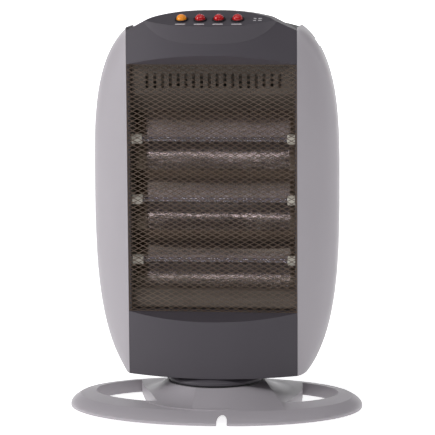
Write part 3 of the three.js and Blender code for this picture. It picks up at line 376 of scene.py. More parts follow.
class Finish(Nodes):
    """A material built from nodes round one principled shader."""

    def __init__(self, name, **steady):
        self.material = bpy.data.materials.new(name)
        self.material.use_nodes = True
        super().__init__(self.material.node_tree)
        self.tree.nodes.clear()
        self.shader = self.tree.nodes.new("ShaderNodeBsdfPrincipled")
        output = self.tree.nodes.new("ShaderNodeOutputMaterial")
        self.tree.links.new(self.shader.outputs[0], output.inputs[0])
        self.place = self.node("ShaderNodeTexCoord", out="Object")
        self.show(**steady)

    def along(self, axis):
        """The place along one of the object's axes, in metres."""
        return self.node("ShaderNodeSeparateXYZ", {}, {0: self.place}, axis)

    def noise(self, scale, detail=2.0, stretch=(1, 1, 1)):
        """Cloudy values round a half, stretched along the object's axes."""
        place = self.node("ShaderNodeMapping", {}, {"Vector": self.place, "Scale": stretch})
        return self.node("ShaderNodeTexNoise", {}, {"Vector": place, "Scale": scale, "Detail": detail})

    def varied(self, marks, colour, dark, light):
        """A colour between two shares of itself."""
        shades = [[min(1.0, value * share) for value in colour[:3]] for share in (dark, light)]
        return self.between(marks, *shades)

    def relief(self, height, depth):
        """A bump of a depth in millimetres."""
        return self.node("ShaderNodeBump", {}, {"Height": height, "Distance": depth * MM})

    def show(self, **looks):
        """Give the shader's sockets their values or signals, and return the material."""
        for socket, value in looks.items():
            self.feed(self.shader.inputs[socket.replace("_", " ")], value)
        return self.material


def moulded(name, colour, roughness, grain=0.02, **steady):
    """Moulded plastic: a fine eroded grain, faint flow marks and a satin that varies."""
    made, spread = Finish(name, **steady), 0.08
    flow, grains, handled = made.noise(22, 3, (1, 1, 0.4)), made.noise(2300), made.noise(9, 4)
    return made.show(Base_Color=made.varied(flow, colour, 0.965, 1.035),
                     Roughness=handled * spread + (roughness - spread / 2),
                     Normal=made.relief(grains, grain))


def sheet_metal(name, colour, roughness, drawn=(0.02, 1, 1), stain=0.12):
    """Rolled or drawn metal: streaks along one axis and a faint stain."""
    made = Finish(name, Metallic=1.0)
    streaks, cloud = made.noise(900, 3, drawn), made.noise(26, 4)
    return made.show(Base_Color=made.varied(cloud, colour, 1 - stain, 1 + stain / 2),
                     Roughness=streaks * 0.16 + cloud * 0.1 + (roughness - 0.13),
                     Normal=made.relief(streaks, 0.004))


def rolled_mirror(name, colour, low, high):
    """Thin polished sheet: slightly wavy and drawn along its length, with painted shade and a rougher skin on
    its outer slopes.

    The troughs lie between the heights low and high, and the flange begins above the upper slope.
    """
    made = Finish(name, Metallic=1.0)
    streaks, cloud = made.noise(900, 3, (0.01, 1, 1)), made.noise(26, 4)
    waves = made.noise(11, stretch=(0.3, 1, 1))
    height, fade, flange_start = made.along("Z"), 0.02, high + 0.014
    flange = made.rising(height, flange_start, flange_start + 0.002)
    # painted shade: this share is 1 between low and high and 0 on the outer slopes, the flange gets back 0.35
    # of it, and it also sets the roughness
    unshaded_share = made.rising(height, low, low + fade) * made.rising(height, high, high - fade) + flange * 0.35
    # the painted shade's colour, a fifth to a third of the sheet's own
    painted_shade_colour = made.varied(cloud, colour, 0.2, 0.34)
    bright = made.varied(cloud, colour, 0.9, 1.08)
    return made.show(Base_Color=made.between(unshaded_share, painted_shade_colour, bright),
                     Roughness=streaks * 0.1 + cloud * 0.08 + (0.24 - unshaded_share * 0.18),
                     Normal=made.relief(waves + streaks * 0.001, 2.5))


def tinted_gloss(name, colour):
    """Clear coloured plastic with a lit depth and a polished skin."""
    made = Finish(name, Coat_Roughness=0.06, IOR=1.49, Subsurface_Weight=0.1, Subsurface_Scale=0.002)
    depth = made.noise(420)
    return made.show(Base_Color=made.varied(depth, colour, 0.82, 1.12),
                     Roughness=depth * 0.06 + 0.14, Coat_Weight=0.5 - depth * 0.1,
                     Normal=made.relief(made.noise(1500, 1), 0.004))


def quartz_glass(name, colour):
    """Drawn quartz: clear, with faint lines along the tube."""
    made = Finish(name, Transmission_Weight=1.0, IOR=1.46)
    lines = made.noise(700, stretch=(0.02, 1, 1))
    return made.show(Base_Color=made.varied(lines, colour, 0.96, 1),
                     Roughness=lines * 0.05 + 0.01, Normal=made.relief(lines, 0.003))


def fired_ceramic(name, colour):
    """Steatite: chalky, with pinholes and a little scorching."""
    made = Finish(name)
    scorch, pores = made.noise(60, 4), made.noise(1600, 3)
    return made.show(Base_Color=made.varied(scorch, colour, 0.84, 1.03),
                     Roughness=scorch * 0.1 + 0.62, Normal=made.relief(pores, 0.03))


def coiled_wire(name, colour):
    """Drawn tungsten, dull and slightly oxidised."""
    made = Finish(name, Metallic=1.0)
    oxide = made.noise(300, 3)
    return made.show(Base_Color=made.varied(oxide, colour, 0.75, 1.15),
                     Roughness=oxide * 0.2 + 0.35)


def braided_sleeve(name, colour):
    """Braided glass fibre: two sets of fine slanted yarns."""
    made = Finish(name)
    bands = {"wave_type": "BANDS", "bands_direction": "DIAGONAL"}
    turned = made.node("ShaderNodeMapping", {}, {"Vector": made.place, "Scale": (-1, 1, 1)})
    yarns = [made.node("ShaderNodeTexWave", bands, {"Vector": place, "Scale": 260, "Distortion": 0.6},
                       "Fac") for place in (made.place, turned)]
    weave = yarns[0] * yarns[1]
    return made.show(Base_Color=made.varied(weave, colour, 0.7, 1.05),
                     Roughness=weave * 0.1 + 0.75, Normal=made.relief(weave, 0.15))


def printed_ink(name, colour):
    """Pad-printed marks, a little thin in places."""
    made = Finish(name)
    thin = made.noise(900, 3)
    return made.show(Base_Color=made.varied(thin, colour, 0.86, 1),
                     Roughness=thin * 0.1 + 0.45)


# ---- front frame
def frame_plan(inset, back):
    """The frame's upright form with the bulging pod in front, before it is trimmed."""
    half, top = HALF - inset, DOME_TOP + OVERRUN
    front = [(x, front_y(x, inset)) for x in steps(96, -half, half)]
    rings = []
    for z in (POD_Z - 15, top):
        flared = POD_FLARE * (z - POD_Z)
        pod = oval(HALF - POD_MARGIN - inset + 2 * flared, POD_DEPTH - inset + flared, 2, 160,
                   CROWN_Y + POD_DEPTH)
        rings.append([(x, min(y, back - 0.5), z) for x, y in pod])
    return joined(slab([*front, (half, back), (-half, back)], 0, top), skin(rings))


def frame_lips(inset):
    """What the window's two leaning lips leave open, for cutting."""
    low, high = WINDOW_LOW - inset, WINDOW_HIGH + inset
    fall, rise, mouth = OVERRUN * LIP_FALL / CROWN, OVERRUN * LIP_RISE / CROWN, EDGE_Y - OVERRUN
    return slab([(mouth, low - fall), (EDGE_Y, low), (EDGE_Y, high), (mouth, high + rise)],
                -HALF - OVERRUN, HALF + OVERRUN, axis=0)


def frame_shape(inset):
    """The front frame's outer form, or with an inset the space inside its walls."""
    back, wide, start = FRAME_BACK + (10 if inset else 0), HALF + OVERRUN, EDGE_Y - 0.01
    low, high = WINDOW_LOW - inset, WINDOW_HIGH + inset
    edge = HALF - inset + 5
    arch = [(x, dome_z(x) - inset) for x in steps(96, edge, -edge)]
    outline = slab([(-edge, BODY_LOW + inset), (edge, BODY_LOW + inset), *arch],
                   CROWN_Y - OVERRUN, back + 5, axis=1)
    side = wide if inset else HALF - WALL
    tunnel = box_form((-side, start, low), (side, back + OVERRUN, high))
    seat = box_form((-wide, start, low), (wide, EDGE_Y + 2, high))
    slope, drop = tan(PLATE_TILT), inset / cos(PLATE_TILT)
    plate = slab([(PLATE_EDGE_Y - OVERRUN, PLATE_Z - drop - OVERRUN * slope),
                  (PLATE_EDGE_Y + 2 * OVERRUN, PLATE_Z - drop + 2 * OVERRUN * slope),
                  (PLATE_EDGE_Y - OVERRUN, DOME_TOP + 2 * OVERRUN)], -wide, wide, axis=0)
    return cut(within(frame_plan(inset, back), outline), frame_lips(inset), tunnel, seat, plate)


def switch_place(number):
    """Where a switch stands on the sloping plate, with its height along +Z."""
    middle = ((number - (SWITCHES[0] + SWITCHES[-1]) / 2) * SWITCH_PITCH,
              PLATE_EDGE_Y + SWITCH_SETBACK, PLATE_Z + SWITCH_SETBACK * tan(PLATE_TILT))
    return Matrix.Translation(middle) @ Matrix.Rotation(PLATE_TILT, 4, "X")


def neck_hole():
    """The round hole under the body, for cutting."""
    return rod_form(NECK_HOLE_RADIUS, 0, BODY_LOW + 2 * WALL)


def build_front_frame(sizes, finish):
    """The dark front moulding with its lips, window and control pod."""
    far = 60
    inner = cut(frame_shape(WALL), box_form((-HALF, FRAME_BACK - WALL, REAR_TOP - WALL),
                                            (HALF, far, DOME_TOP + far)))
    sides = [box_form((side * HALF - 2 * WALL, EDGE_Y + 12, WINDOW_LOW),
                      (side * HALF + 2 * WALL, far, WINDOW_HIGH)) for side in (-1, 1)]
    holes = [rod_form(SWITCH_HOLE_RADIUS, -15, 15, switch_place(number)) for number in SWITCHES]
    shell = cut(frame_shape(0), inner, *sides, *holes, neck_hole())
    finished(shell, "front_moulding", finish, "body", ["front_frame"], sizes.edge_softness / MM, corner=9)


# ---- side panels
def panel_section(z, inset, inner_x, rear_y):
    """The right panel's section: inner edge, front face, corner and straight side."""
    half = half_width(z) - inset
    start, corner = (inner_x, EDGE_Y + inset), (half, PANEL_CORNER_Y)
    bend = (half, EDGE_Y + inset + 0.4 * (PANEL_CORNER_Y - EDGE_Y))
    curve = [tuple((1 - t) ** 2 * start[k] + 2 * t * (1 - t) * bend[k] + t * t * corner[k] for k in (0, 1))
             for t in steps(28)]
    return [(inner_x, rear_y), *curve, (half, rear_y)]


def panel_levels(count):
    """Heights from the panel's foot to its top, closer together at both ends."""
    return [BODY_LOW + (PANEL_TOP - BODY_LOW) * (t - 0.13 * sin(2 * pi * t)) for t in steps(count)]


def pushed_out(outline, amount):
    """A closed outline moved outwards, each point square to its neighbours."""
    ring = []
    for i, (x, z) in enumerate(outline):
        (x0, z0), (x1, z1) = outline[i - 1], outline[(i + 1) % len(outline)]
        length = hypot(x1 - x0, z1 - z0)
        ring.append((x + (z1 - z0) / length * amount, z - (x1 - x0) / length * amount))
    return ring


def rear_shape(grow, deep=False):
    """The rear housing's rounded form, grown or shrunk, and when it is deep started inside the frame."""
    gap, radius = WALL + 1.5 * FIT, 10 + grow
    side = [(half_width(z) - gap, z) for z in panel_levels(70) if z < REAR_TOP - WALL]
    edge = side[-1][0] - 3
    top = [(edge * (1 - 2 * t), REAR_TOP + REAR_TOP_CROWN * (1 - (1 - 2 * t) ** 2)) for t in steps(40)]
    outline = [*side, *top, *[(-x, z) for x, z in reversed(side)]]
    start = FRAME_BACK - 20 if deep else FRAME_BACK + FIT
    rings = [[(x, start, z) for x, z in pushed_out(outline, grow)]]
    for turn in steps(7, 0, pi / 2):
        y = REAR_Y + grow - radius * (1 - sin(turn))
        rings.append([(x, y, z) for x, z in pushed_out(outline, grow - radius * (1 - cos(turn)))])
    edge_x, far = HALF + grow, 200
    wings = [box_form((low, start - 5, 0), (high, PANEL_CORNER_Y + FIT - grow, BODY_TOP + 50))
             for low, high in ((-far, -edge_x), (edge_x, far))]
    return cut(skin(rings), *wings)


def build_side_panels(sizes, finish):
    """The two light covers, hollow behind, with a small notch at the top of the rear edge."""
    inner_x, levels, softness = HALF + FIT, panel_levels(72), sizes.edge_softness / MM
    notch_z, notch_half = PANEL_TOP - 21, 4.5
    for name in ("right", "left"):
        outer = skin([raised(panel_section(z, 0, inner_x, PANEL_BACK), z) for z in levels])
        inner = skin([raised(panel_section(z, WALL, inner_x - 5, PANEL_BACK + 5), z)
                      for z in [BODY_LOW + WALL, *levels[4:-3]]])
        notch = box_form((inner_x, PANEL_BACK - 10, notch_z - notch_half),
                         (BODY_HALF + 50, PANEL_BACK + 5, notch_z + notch_half))
        cover = cut(outer, inner, notch, rear_shape(FIT, deep=True))
        if name == "left":
            mirrored(cover)
        finished(cover, f"side_cover_{name}", finish, "body", [f"side_panel_{name}"], softness)


# ---- rear housing
GRIP_LOW, GRIP_HEIGHT, GRIP_HALF, GRIP_DEPTH = WINDOW_HIGH + 11, 26, 48, 24
VENT_ROWS, VENT_TOP, VENT_PITCH, VENT_HEIGHT = 9, GRIP_LOW - 39, 13, 4.5
VENT_STARTS, VENT_LENGTH = (-81, 7), 74
SCREW_HOLE_RADIUS, LEAD_HOLE_RADIUS, LOOM_HOLE_RADIUS = 2.3, 6.3, 5.4
LEAD_X, LEAD_Z = -60, BODY_LOW + 21.5
LOOM_X, LOOM_Y = 106.7, 16


def grip_pocket(grow):
    """The grip's space, or with a wall's thickness the block that its walls stand in."""
    return box_form((-GRIP_HALF - grow, REAR_Y - GRIP_DEPTH - grow, GRIP_LOW - grow),
                    (GRIP_HALF + grow, REAR_Y + 10, GRIP_LOW + GRIP_HEIGHT + grow))


def vent_slots():
    """Two columns of vents under the grip, for cutting."""
    tops = [VENT_TOP - VENT_PITCH * row for row in range(VENT_ROWS)]
    return [box_form((x, REAR_Y - 2 * WALL, z - VENT_HEIGHT), (x + VENT_LENGTH, REAR_Y + 10, z))
            for z in tops for x in VENT_STARTS]


def build_rear_housing(finish):
    """The black back shell with its grip pocket, vents and holes."""
    inside = cut(rear_shape(-WALL, deep=True), grip_pocket(WALL))
    gap = box_form((-HALF, FRAME_BACK - 5, WINDOW_LOW), (HALF, PANEL_CORNER_Y + 2 * WALL, WINDOW_HIGH))
    screws = [rod_form(SCREW_HOLE_RADIUS, -60, 20, facing_back(x, REAR_Y, z), 20) for x, z in screw_places()]
    lead = rod_form(LEAD_HOLE_RADIUS, -60, 20, facing_back(LEAD_X, REAR_Y, LEAD_Z), 32)
    looms = [rod_form(LOOM_HOLE_RADIUS, -8, 10, facing_back(x, LOOM_Y, z), 20)
             for x, z in ((-LOOM_X, WINDOW_HIGH - 20), (LOOM_X, WINDOW_LOW + 12))]
    shell = cut(rear_shape(0), inside, grip_pocket(0), gap, *vent_slots(), *screws, lead, neck_hole(), *looms)
    finished(shell, "back_shell", finish, "body", ["rear_housing"], softness=0.5)


def screw_places():
    """Where the four screws of the rear housing sit, across and in height."""
    return [(side * (HALF - 7), z) for z in (BODY_LOW + 43.5, WINDOW_HIGH - 11) for side in (-1, 1)]


def build_rear_screws(finish):
    """Pan-head screws with a cross recess."""
    radius, rise, dome = 4, 2.2, 1.9
    arm_length, arm_width, recess = 1.7, 0.35, 1.1
    head = [(radius * cos(t), rise - dome * (1 - sin(t))) for t in steps(6, 0, pi / 2)]
    profile = [(0, -12), (1.6, -12), (2, -11), (2, FIT), (radius, FIT), *head[:-1], (0, rise)]
    for number, (x, z) in enumerate(screw_places(), 1):
        screw = spun(profile, 32, facing_back(x, REAR_Y, z))
        arms = [box_form((x - w, REAR_Y + recess, z - h), (x + w, REAR_Y + 5, z + h))
                for w, h in ((arm_length, arm_width), (arm_width, arm_length))]
        finished(cut(screw, *arms), f"cross_head_{number}", finish, "body", [f"rear_screw_{number}"])


def build_lead_bush(finish):
    """The ribbed bush for the supply lead."""
    radius, bore, foot = 9, 3.6, -8.5
    rim = arc(radius - 1, 2, 1, 0, pi / 2, 4)
    ribs = [(6 - 0.4 * (i % 2), 0.2 - i * 0.9) for i in range(9)]
    profile = [(bore, foot), *reversed(ribs), (radius, FIT), *rim, (4.4, 3), (bore, 2.2), (bore, foot)]
    bush = spun_ring(profile, 48, facing_back(LEAD_X, REAR_Y, LEAD_Z))
    finished(bush, "lead_bush", finish, "body", ["cord_bush"])


# ---- guard
def zigzag(start, step, count, turned, half_strand):
    """Points and faces of one strand, which steps up and down as it goes along X from a start."""
    middle, half_depth, lean = (NET_LOW[1] + NET_HIGH[1]) / 2, 0.22, 0.09
    points, faces = [], []
    for i in range(count + 1):
        side = 1 if (i + turned) % 2 else -1
        height = start[1] + side * (step[1] / 2 - half_strand * 0.35)
        points += [(start[0] + i * step[0], middle + half_depth * deep + lean * across,
                    height + across * half_strand) for across, deep in ((-1, -1), (1, -1), (1, 1), (-1, 1))]
    for at in range(0, 4 * count, 4):
        faces += [(at + k, at + (k + 1) % 4, at + 4 + (k + 1) % 4, at + 4 + k) for k in range(4)]
    return points, [*faces, (0, 3, 2, 1), tuple(4 * count + k for k in range(4))]


def build_guard(sizes, finish):
    """Expanded metal: crossing zigzags of slanted strands that meet in rows of bonds, in a flat border."""
    (x0, y0, z0), (x1, y1, z1) = NET_LOW, NET_HIGH
    border = 0.7
    width, height = x1 - x0 - 2 * border, z1 - z0 - 2 * border
    columns, rows = round(width * MM / sizes.mesh_width), round(height * MM / sizes.mesh_height)
    step = (width / columns / 2, height / rows / 2)
    points, faces = [], []
    for line in range(2 * rows):
        start = (x0 + border, z0 + border + (line + 0.5) * step[1])
        strand, sides = zigzag(start, step, 2 * columns, line, sizes.strand / MM / 2)
        faces += [tuple(len(points) + k for k in face) for face in sides]
        points += strand
    net = form(points, faces)
    hole = box_form((x0 + border, y0 - 5, z0 + border), (x1 - border, y1 + 5, z1 - border))
    rim = cut(box_form(NET_LOW, NET_HIGH), hole)
    finished(net, "net_strands", finish, "body", ["guard"], corner=20)
    finished(rim, "net_border", finish, "body", softness=0.15)


# ---- reflector and lamps
LOW_FLANGE, HIGH_FLANGE, SLOPE_HEIGHT = 2.6, 36.6, 19
FIRST_TROUGH = MIRROR_LOW[2] + LOW_FLANGE + SLOPE_HEIGHT
LAST_TROUGH = MIRROR_HIGH[2] - HIGH_FLANGE - SLOPE_HEIGHT
LAMP_COUNT = 3
LAMP_PITCH = (LAST_TROUGH - FIRST_TROUGH) / LAMP_COUNT
LAMP_Y = (TUBE_LOW[1] + TUBE_HIGH[1]) / 2
TUBE_RADIUS = (TUBE_HIGH[2] - TUBE_LOW[2]) / 2


def lamp_z(number):
    """The height of a lamp's middle."""
    return FIRST_TROUGH + (number - 0.5) * LAMP_PITCH


def flange_slot(x, flange_y):
    """An upright slot with round ends in the upper flange, for cutting."""
    radius, low, high = 1.85, WINDOW_HIGH - 30, WINDOW_HIGH - 12
    ends = [*arc(x, high - radius, radius, 0, pi, 8), *arc(x, low + radius, radius, pi, 2 * pi, 8)]
    return slab(ends, flange_y - 3, flange_y + 4, axis=1)


def build_reflector(sizes, finish):
    """The bright sheet with a trough behind each lamp and a slotted upper flange."""
    flange_y, cusp_y, depth = MIRROR_LOW[1], 2, 20
    slot_count, slot_pitch = 18, 9.5
    line = [(flange_y, MIRROR_LOW[2]), (flange_y, FIRST_TROUGH - SLOPE_HEIGHT)]
    for i in range(LAMP_COUNT):
        line += [(cusp_y + depth * (1 - (2 * t - 1) ** 2), FIRST_TROUGH + (i + t) * LAMP_PITCH)
                 for t in steps(28)][1 if i else 0:]
    line += [(flange_y, LAST_TROUGH + SLOPE_HEIGHT), (flange_y, MIRROR_HIGH[2])]
    half, thick = MIRROR_HIGH[0], sizes.sheet_thickness / MM
    sheet = slab([*line, *[(y + thick, z) for y, z in reversed(line)]], -half, half, axis=0)
    slots = [flange_slot((i - (slot_count - 1) / 2) * slot_pitch, flange_y) for i in range(slot_count)]
    finished(cut(sheet, *slots), "mirror_sheet", finish, "body", ["reflector"], corner=24)


def coil_points(radius, turns, low, high, per_turn=10):
    """A helix along +X with straight tails."""
    tail, straight, count = 6, 4.5, turns * per_turn
    wound = [(low + tail + (high - low - 2 * tail) * i / count,
              radius * cos(2 * pi * i / per_turn),
              radius * sin(2 * pi * i / per_turn)) for i in range(count + 1)]
    return [(low, 0, 0), (low + straight, 0, 0), *wound, (high - straight, 0, 0), (high, 0, 0)]


def wire(points, radius, sides=5):
    """A round wire along points."""
    path = [Vector(point) for point in points]
    rings = []
    for i, at in enumerate(path):
        along = (path[min(i + 1, len(path) - 1)] - path[max(i - 1, 0)]).normalized()
        across = along.cross(Vector((0, 0.3, 1))).normalized()
        up = across.cross(along)
        rings.append([at + radius * (across * cos(a) + up * sin(a))
                      for a in [2 * pi * k / sides for k in range(sides)]])
    return skin(rings)


def end_cap(z):
    """The right end cap of the lamp at a height, with a groove round it and a bore for the tube."""
    radius, start, end = (CAP_HIGH[2] - CAP_LOW[2]) / 2, CAP_LOW[0], CAP_HIGH[0]
    bore, floor, groove = TUBE_RADIUS + FIT, end - 7, radius - 0.7
    outer = [(radius - 0.8, start), (radius, start + 0.8), (radius, start + 9), (groove, start + 9.6),
             (groove, start + 10.8), (radius, start + 11.4), (radius, end - 1), (radius - 1, end)]
    return spun([(0, floor), (bore, floor), (bore, start), *outer, (0, end)], 40, lying(0, LAMP_Y, z))


def build_lamps(sizes, looks):
    """Quartz tubes with coiled filaments between ceramic end caps."""
    radius, bore, half = TUBE_RADIUS, TUBE_RADIUS - 1, TUBE_HIGH[0]
    coil_half, coil_radius, wire_radius = half + 3, 0.75, 0.16
    for number in range(1, LAMP_COUNT + 1):
        z = lamp_z(number)
        section = [(bore, -half), (radius, -half), (radius, half), (bore, half), (bore, -half)]
        tube = spun_ring(section, 40, lying(0, LAMP_Y, z))
        finished(tube, f"quartz_tube_{number}", looks["quartz"], "body", [f"lamp_tube_{number}"])
        coil = wire(coil_points(coil_radius, sizes.filament_turns, -coil_half, coil_half), wire_radius)
        coil.data.transform(Matrix.Translation((0, LAMP_Y, z)))
        finished(coil, f"coil_{number}", looks["tungsten"], "body", [f"filament_{number}"], corner=80)
        for name in ("left", "right"):
            cap = end_cap(z)
            if name == "left":
                mirrored(cap)
            finished(cap, f"end_cap_{name}_{number}", looks["ceramic"], "body", [f"lamp_cap_{name}_{number}"])


# ---- switches
BEZEL_HEIGHT, ROCKER_TILT = 1.6, radians(8)
PRINT_HEIGHT, BAR_SIZE, BAR_Y = 0.14, (12.5, 2.4), -14
MARK_PLACES = [(x, y, width) for y in (3.4, -2.4) for x, width in ((20.6, 3.6), (26.8, 4.6))]


def bezel(place):
    """A round switch body with a rolled lip and a well for its key."""
    lip_radius, roll, bore, floor = 8.2, 0.7, 6.5, -6.2
    lip = arc(lip_radius - roll, BEZEL_HEIGHT - roll, roll, 0, pi / 2, 4)
    profile = [(0, -12), (6.6, -12), (7.3, -11.3), (7.3, FIT), (lip_radius, FIT), *lip,
               (7, BEZEL_HEIGHT), (bore, 1.1), (bore, floor), (0, floor)]
    return spun(profile, 64, place)


def rocker_key(place):
    """A domed key: a ball below its pivot, and a fuller crown above it."""
    ball_radius, foot, crown_radius, rise = 6.2, -3.8, 6.1, 5.2
    ball = [(sqrt(ball_radius ** 2 - z * z), z) for z in steps(8, foot, 0)]
    crown = [(crown_radius * cos(t), rise * sin(t) ** 1.1) for t in steps(14, 0.12, pi / 2 - 0.06)]
    return spun([(0, foot), *ball, *crown, (0, rise)], 64, place)


def rounded_bar(length, width):
    """A thin bar with round ends, lying on the plate."""
    radius = width / 2
    end_x = length / 2 - radius
    ends = [*arc(end_x, 0, radius, -pi / 2, pi / 2, 10), *arc(-end_x, 0, radius, pi / 2, 1.5 * pi, 10)]
    return slab(ends, -0.05, PRINT_HEIGHT)


def build_print(name, place, x, y, size, finish):
    """A printed bar or mark beside a switch."""
    bar = rounded_bar(*size)
    bar.data.transform(place @ Matrix.Translation((x, y, 0)))
    finished(bar, name, finish, "body")


def build_switches(looks):
    """Four round rockers in bezels, with a plain printed bar before each and small marks beside them."""
    for number in SWITCHES:
        place, first, last = switch_place(number), number == SWITCHES[0], number == SWITCHES[-1]
        finished(bezel(place), f"bezel_{number}", looks["black_plastic"], "body", [f"switch_body_{number}"])
        tilt = Matrix.Rotation(ROCKER_TILT if last else -ROCKER_TILT, 4, "X")
        key = rocker_key(place @ Matrix.Translation((0, 0, BEZEL_HEIGHT)) @ tilt)
        finished(key, f"rocker_key_{number}", looks["orange_rocker" if first else "red_rocker"],
                 f"rocker_{number}", [f"rocker_{number}"], corner=50)
        build_print(f"printed_bar_{number}", place, 0, BAR_Y, BAR_SIZE, looks["ink"])
    for i, (x, y, width) in enumerate(MARK_PLACES, 1):
        build_print(f"printed_mark_{i}", switch_place(SWITCHES[-1]), x, y, (width, 2.0), looks["ink"])


# ---- ring base
NECK_RADIUS = NECK_HIGH[0]
HUB_RADIUS, HUB_FLANK = NECK_RADIUS + 1.4, 40
HUB_TOP = NECK_LOW[2] - 2
WELL_RADIUS = NECK_RADIUS - 10.6
WELL_FLOOR = HUB_TOP - 5.5
RING_A, RING_B = RING_HIGH[0], RING_HIGH[1]
RING_POWER = 2.08
RING_TOP = 17
CREASE_Z, CREASE_IN = 15, (12, 20)
RIM_LEAN = (0.22, 0.62)  # how straight the rim rises to the crease, at the sides and at the front
OPENING_A = RING_A - 30
OPENING_FRONT, OPENING_BACK = 52.5 - RING_B, RING_B - 37.5
OPENING_B, OPENING_Y = (OPENING_BACK - OPENING_FRONT) / 2, (OPENING_BACK + OPENING_FRONT) / 2
BRIDGE_LEFT, BRIDGE_RIGHT = (2.5, 26, 46), (25, 42, 38)  # past the hub, from the front to the back
RAMP_LEFT, RAMP_RIGHT = -17.5, 94
NOTCH_X, NOTCH_Z, NOTCH_RADIUS, NOTCH_DEPTH = 20.5, 5.75, 6.25, 24
POST_HOLE_RADIUS = 6.3
FOOT_IN, FOOT_FRONT, FOOT_BACK, BOSS_RADIUS = 40, 72, 64, 7.5


def bridge_side(side, widths, grow):
    """One edge of the bridge between the openings, from the front to the back."""
    places = zip(widths, (OPENING_FRONT, 0, OPENING_BACK))
    return smooth_line([(side * (HUB_RADIUS + width + grow), y) for width, y in places])


def smooth_line(points, count=14):
    """A curve through three points, as evenly spaced points."""
    (x0, y0), (x1, y1), (x2, y2) = points
    middle = (y1 - y0) / (y2 - y0)
    return [tuple(a * (1 - t) * (middle - t) / middle + b * t * (1 - t) / (middle * (1 - middle))
                  + c * t * (t - middle) / (1 - middle) for a, b, c in ((x0, x1, x2), (y0, y1, y2)))
            for t in steps(count)]


def ring_openings(grow):
    """The two openings' shape, for cutting."""
    holes = slab(oval(OPENING_A + grow, OPENING_B + grow, RING_POWER, 160, OPENING_Y), -10, HUB_TOP + 20)
    front, back = OPENING_FRONT - 20, OPENING_BACK + 20
    left, right = bridge_side(-1, BRIDGE_LEFT, -grow), bridge_side(1, BRIDGE_RIGHT, -grow)
    bridge = [(left[0][0], front), (right[0][0], front), *right,
              (right[-1][0], back), (left[-1][0], back), *reversed(left)]
    return cut(holes, slab(bridge, -20, HUB_TOP + 40))


def base_shape(inset):
    """The ring with its hub and ramp, or with an inset the space inside its walls."""
    a, b = RING_A - inset, RING_B - inset
    low, foot = -5 if inset else RING_LOW[2], RING_LOW[2] + 3
    rings = [(low, 0, 0, 0)]
    for t in steps(10):
        in_x, in_y = [most * (lean * t + (1 - lean) * t * t) for most, lean in zip(CREASE_IN, RIM_LEAN)]
        rings.append((foot + (CREASE_Z - inset - foot) * t, in_x, in_y, 0))
    rings.append((RING_TOP - inset, a - OPENING_A, b - OPENING_B, OPENING_Y))
    ring = skin([raised(oval(a - in_x, b - in_y, RING_POWER, 200, centre), z)
                 for z, in_x, in_y, centre in rings])
    top, rise, radius = HUB_TOP - inset, HUB_TOP - RING_TOP, HUB_RADIUS - inset
    flank = [(radius + HUB_FLANK * t, top - rise * (1 - (1 - t) ** 2)) for t in steps(24, 1, 0)]
    hub = spun([(0, low), (radius + HUB_FLANK, low), *flank, (0, top)], 160)
    return joined(ring, hub, ramp_shape(inset, low))


def ramp_shape(inset, low):
    """The ramp from the hub's edge down to the crease of the ring's front."""
    radius = HUB_RADIUS - inset
    crease_a, crease_b = RING_A - CREASE_IN[0], RING_B - CREASE_IN[1]
    start = -acos((RAMP_LEFT + inset) / radius)
    edges, toes = [], []
    for t in steps(40):
        edges.append((radius * cos(start * (1 - t)), radius * sin(start * (1 - t))))
        x = RAMP_LEFT + inset + (RAMP_RIGHT - RAMP_LEFT - 2 * inset) * t
        toes.append((x, inset - crease_b * (1 - (abs(x) / crease_a) ** RING_POWER) ** (1 / RING_POWER)))
    near = [(x / 2, y / 2) for x, y in reversed(edges)]
    levels = [(low, toes), (CREASE_Z - inset, toes), (HUB_TOP - inset, edges)]
    return skin([raised([*outline, *near], z) for z, outline in levels])


def build_ring_base(sizes, finish):
    """The light moulded base with its well, openings and front notch."""
    clear = HUB_TOP + 20
    outer_well = rod_form(WELL_RADIUS + WALL, WELL_FLOOR - WALL, clear, sides=96)
    inside = cut(base_shape(WALL), ring_openings(WALL), outer_well)
    arch = arc(NOTCH_X, NOTCH_Z, NOTCH_RADIUS, 0, pi, 16)
    notch = slab([(NOTCH_X - NOTCH_RADIUS, -5), (NOTCH_X + NOTCH_RADIUS, -5), *arch],
                 -2 * RING_B, NOTCH_DEPTH - RING_B, axis=1)
    bosses = [rod_form(BOSS_RADIUS, 3, 12, Matrix.Translation((x, y, 0))) for x, y in foot_places()]
    well = rod_form(WELL_RADIUS, WELL_FLOOR, clear, sides=96)
    post_hole = rod_form(POST_HOLE_RADIUS, 0, HUB_TOP)
    shell = cut(base_shape(0), inside, ring_openings(0), well, post_hole, notch)
    finished(joined(shell, *bosses), "ring_moulding", finish, "base", ["base_ring"],
             sizes.edge_softness / MM, corner=11)


def foot_places():
    """Where the four feet stand."""
    rows = (FOOT_FRONT - RING_B, RING_B - FOOT_BACK)
    return [(side * (RING_A - FOOT_IN), y) for y in rows for side in (-1, 1)]


def build_feet(finish):
    """Rubber feet with a rounded tread and a fine ring groove."""
    tread = [(0, 0), (3.6, 0), (3.9, 0.5), (4.6, 0.5), (4.9, 0), (6.5, 0), (7.2, 0.3), (7.5, 1),
             (7.5, 2.7), (0, 2.7)]
    for number, (x, y) in enumerate(foot_places(), 1):
        foot = spun(tread, 48, Matrix.Translation((x, y, 0)))
        finished(foot, f"tread_{number}", finish, "base", [f"foot_{number}"])


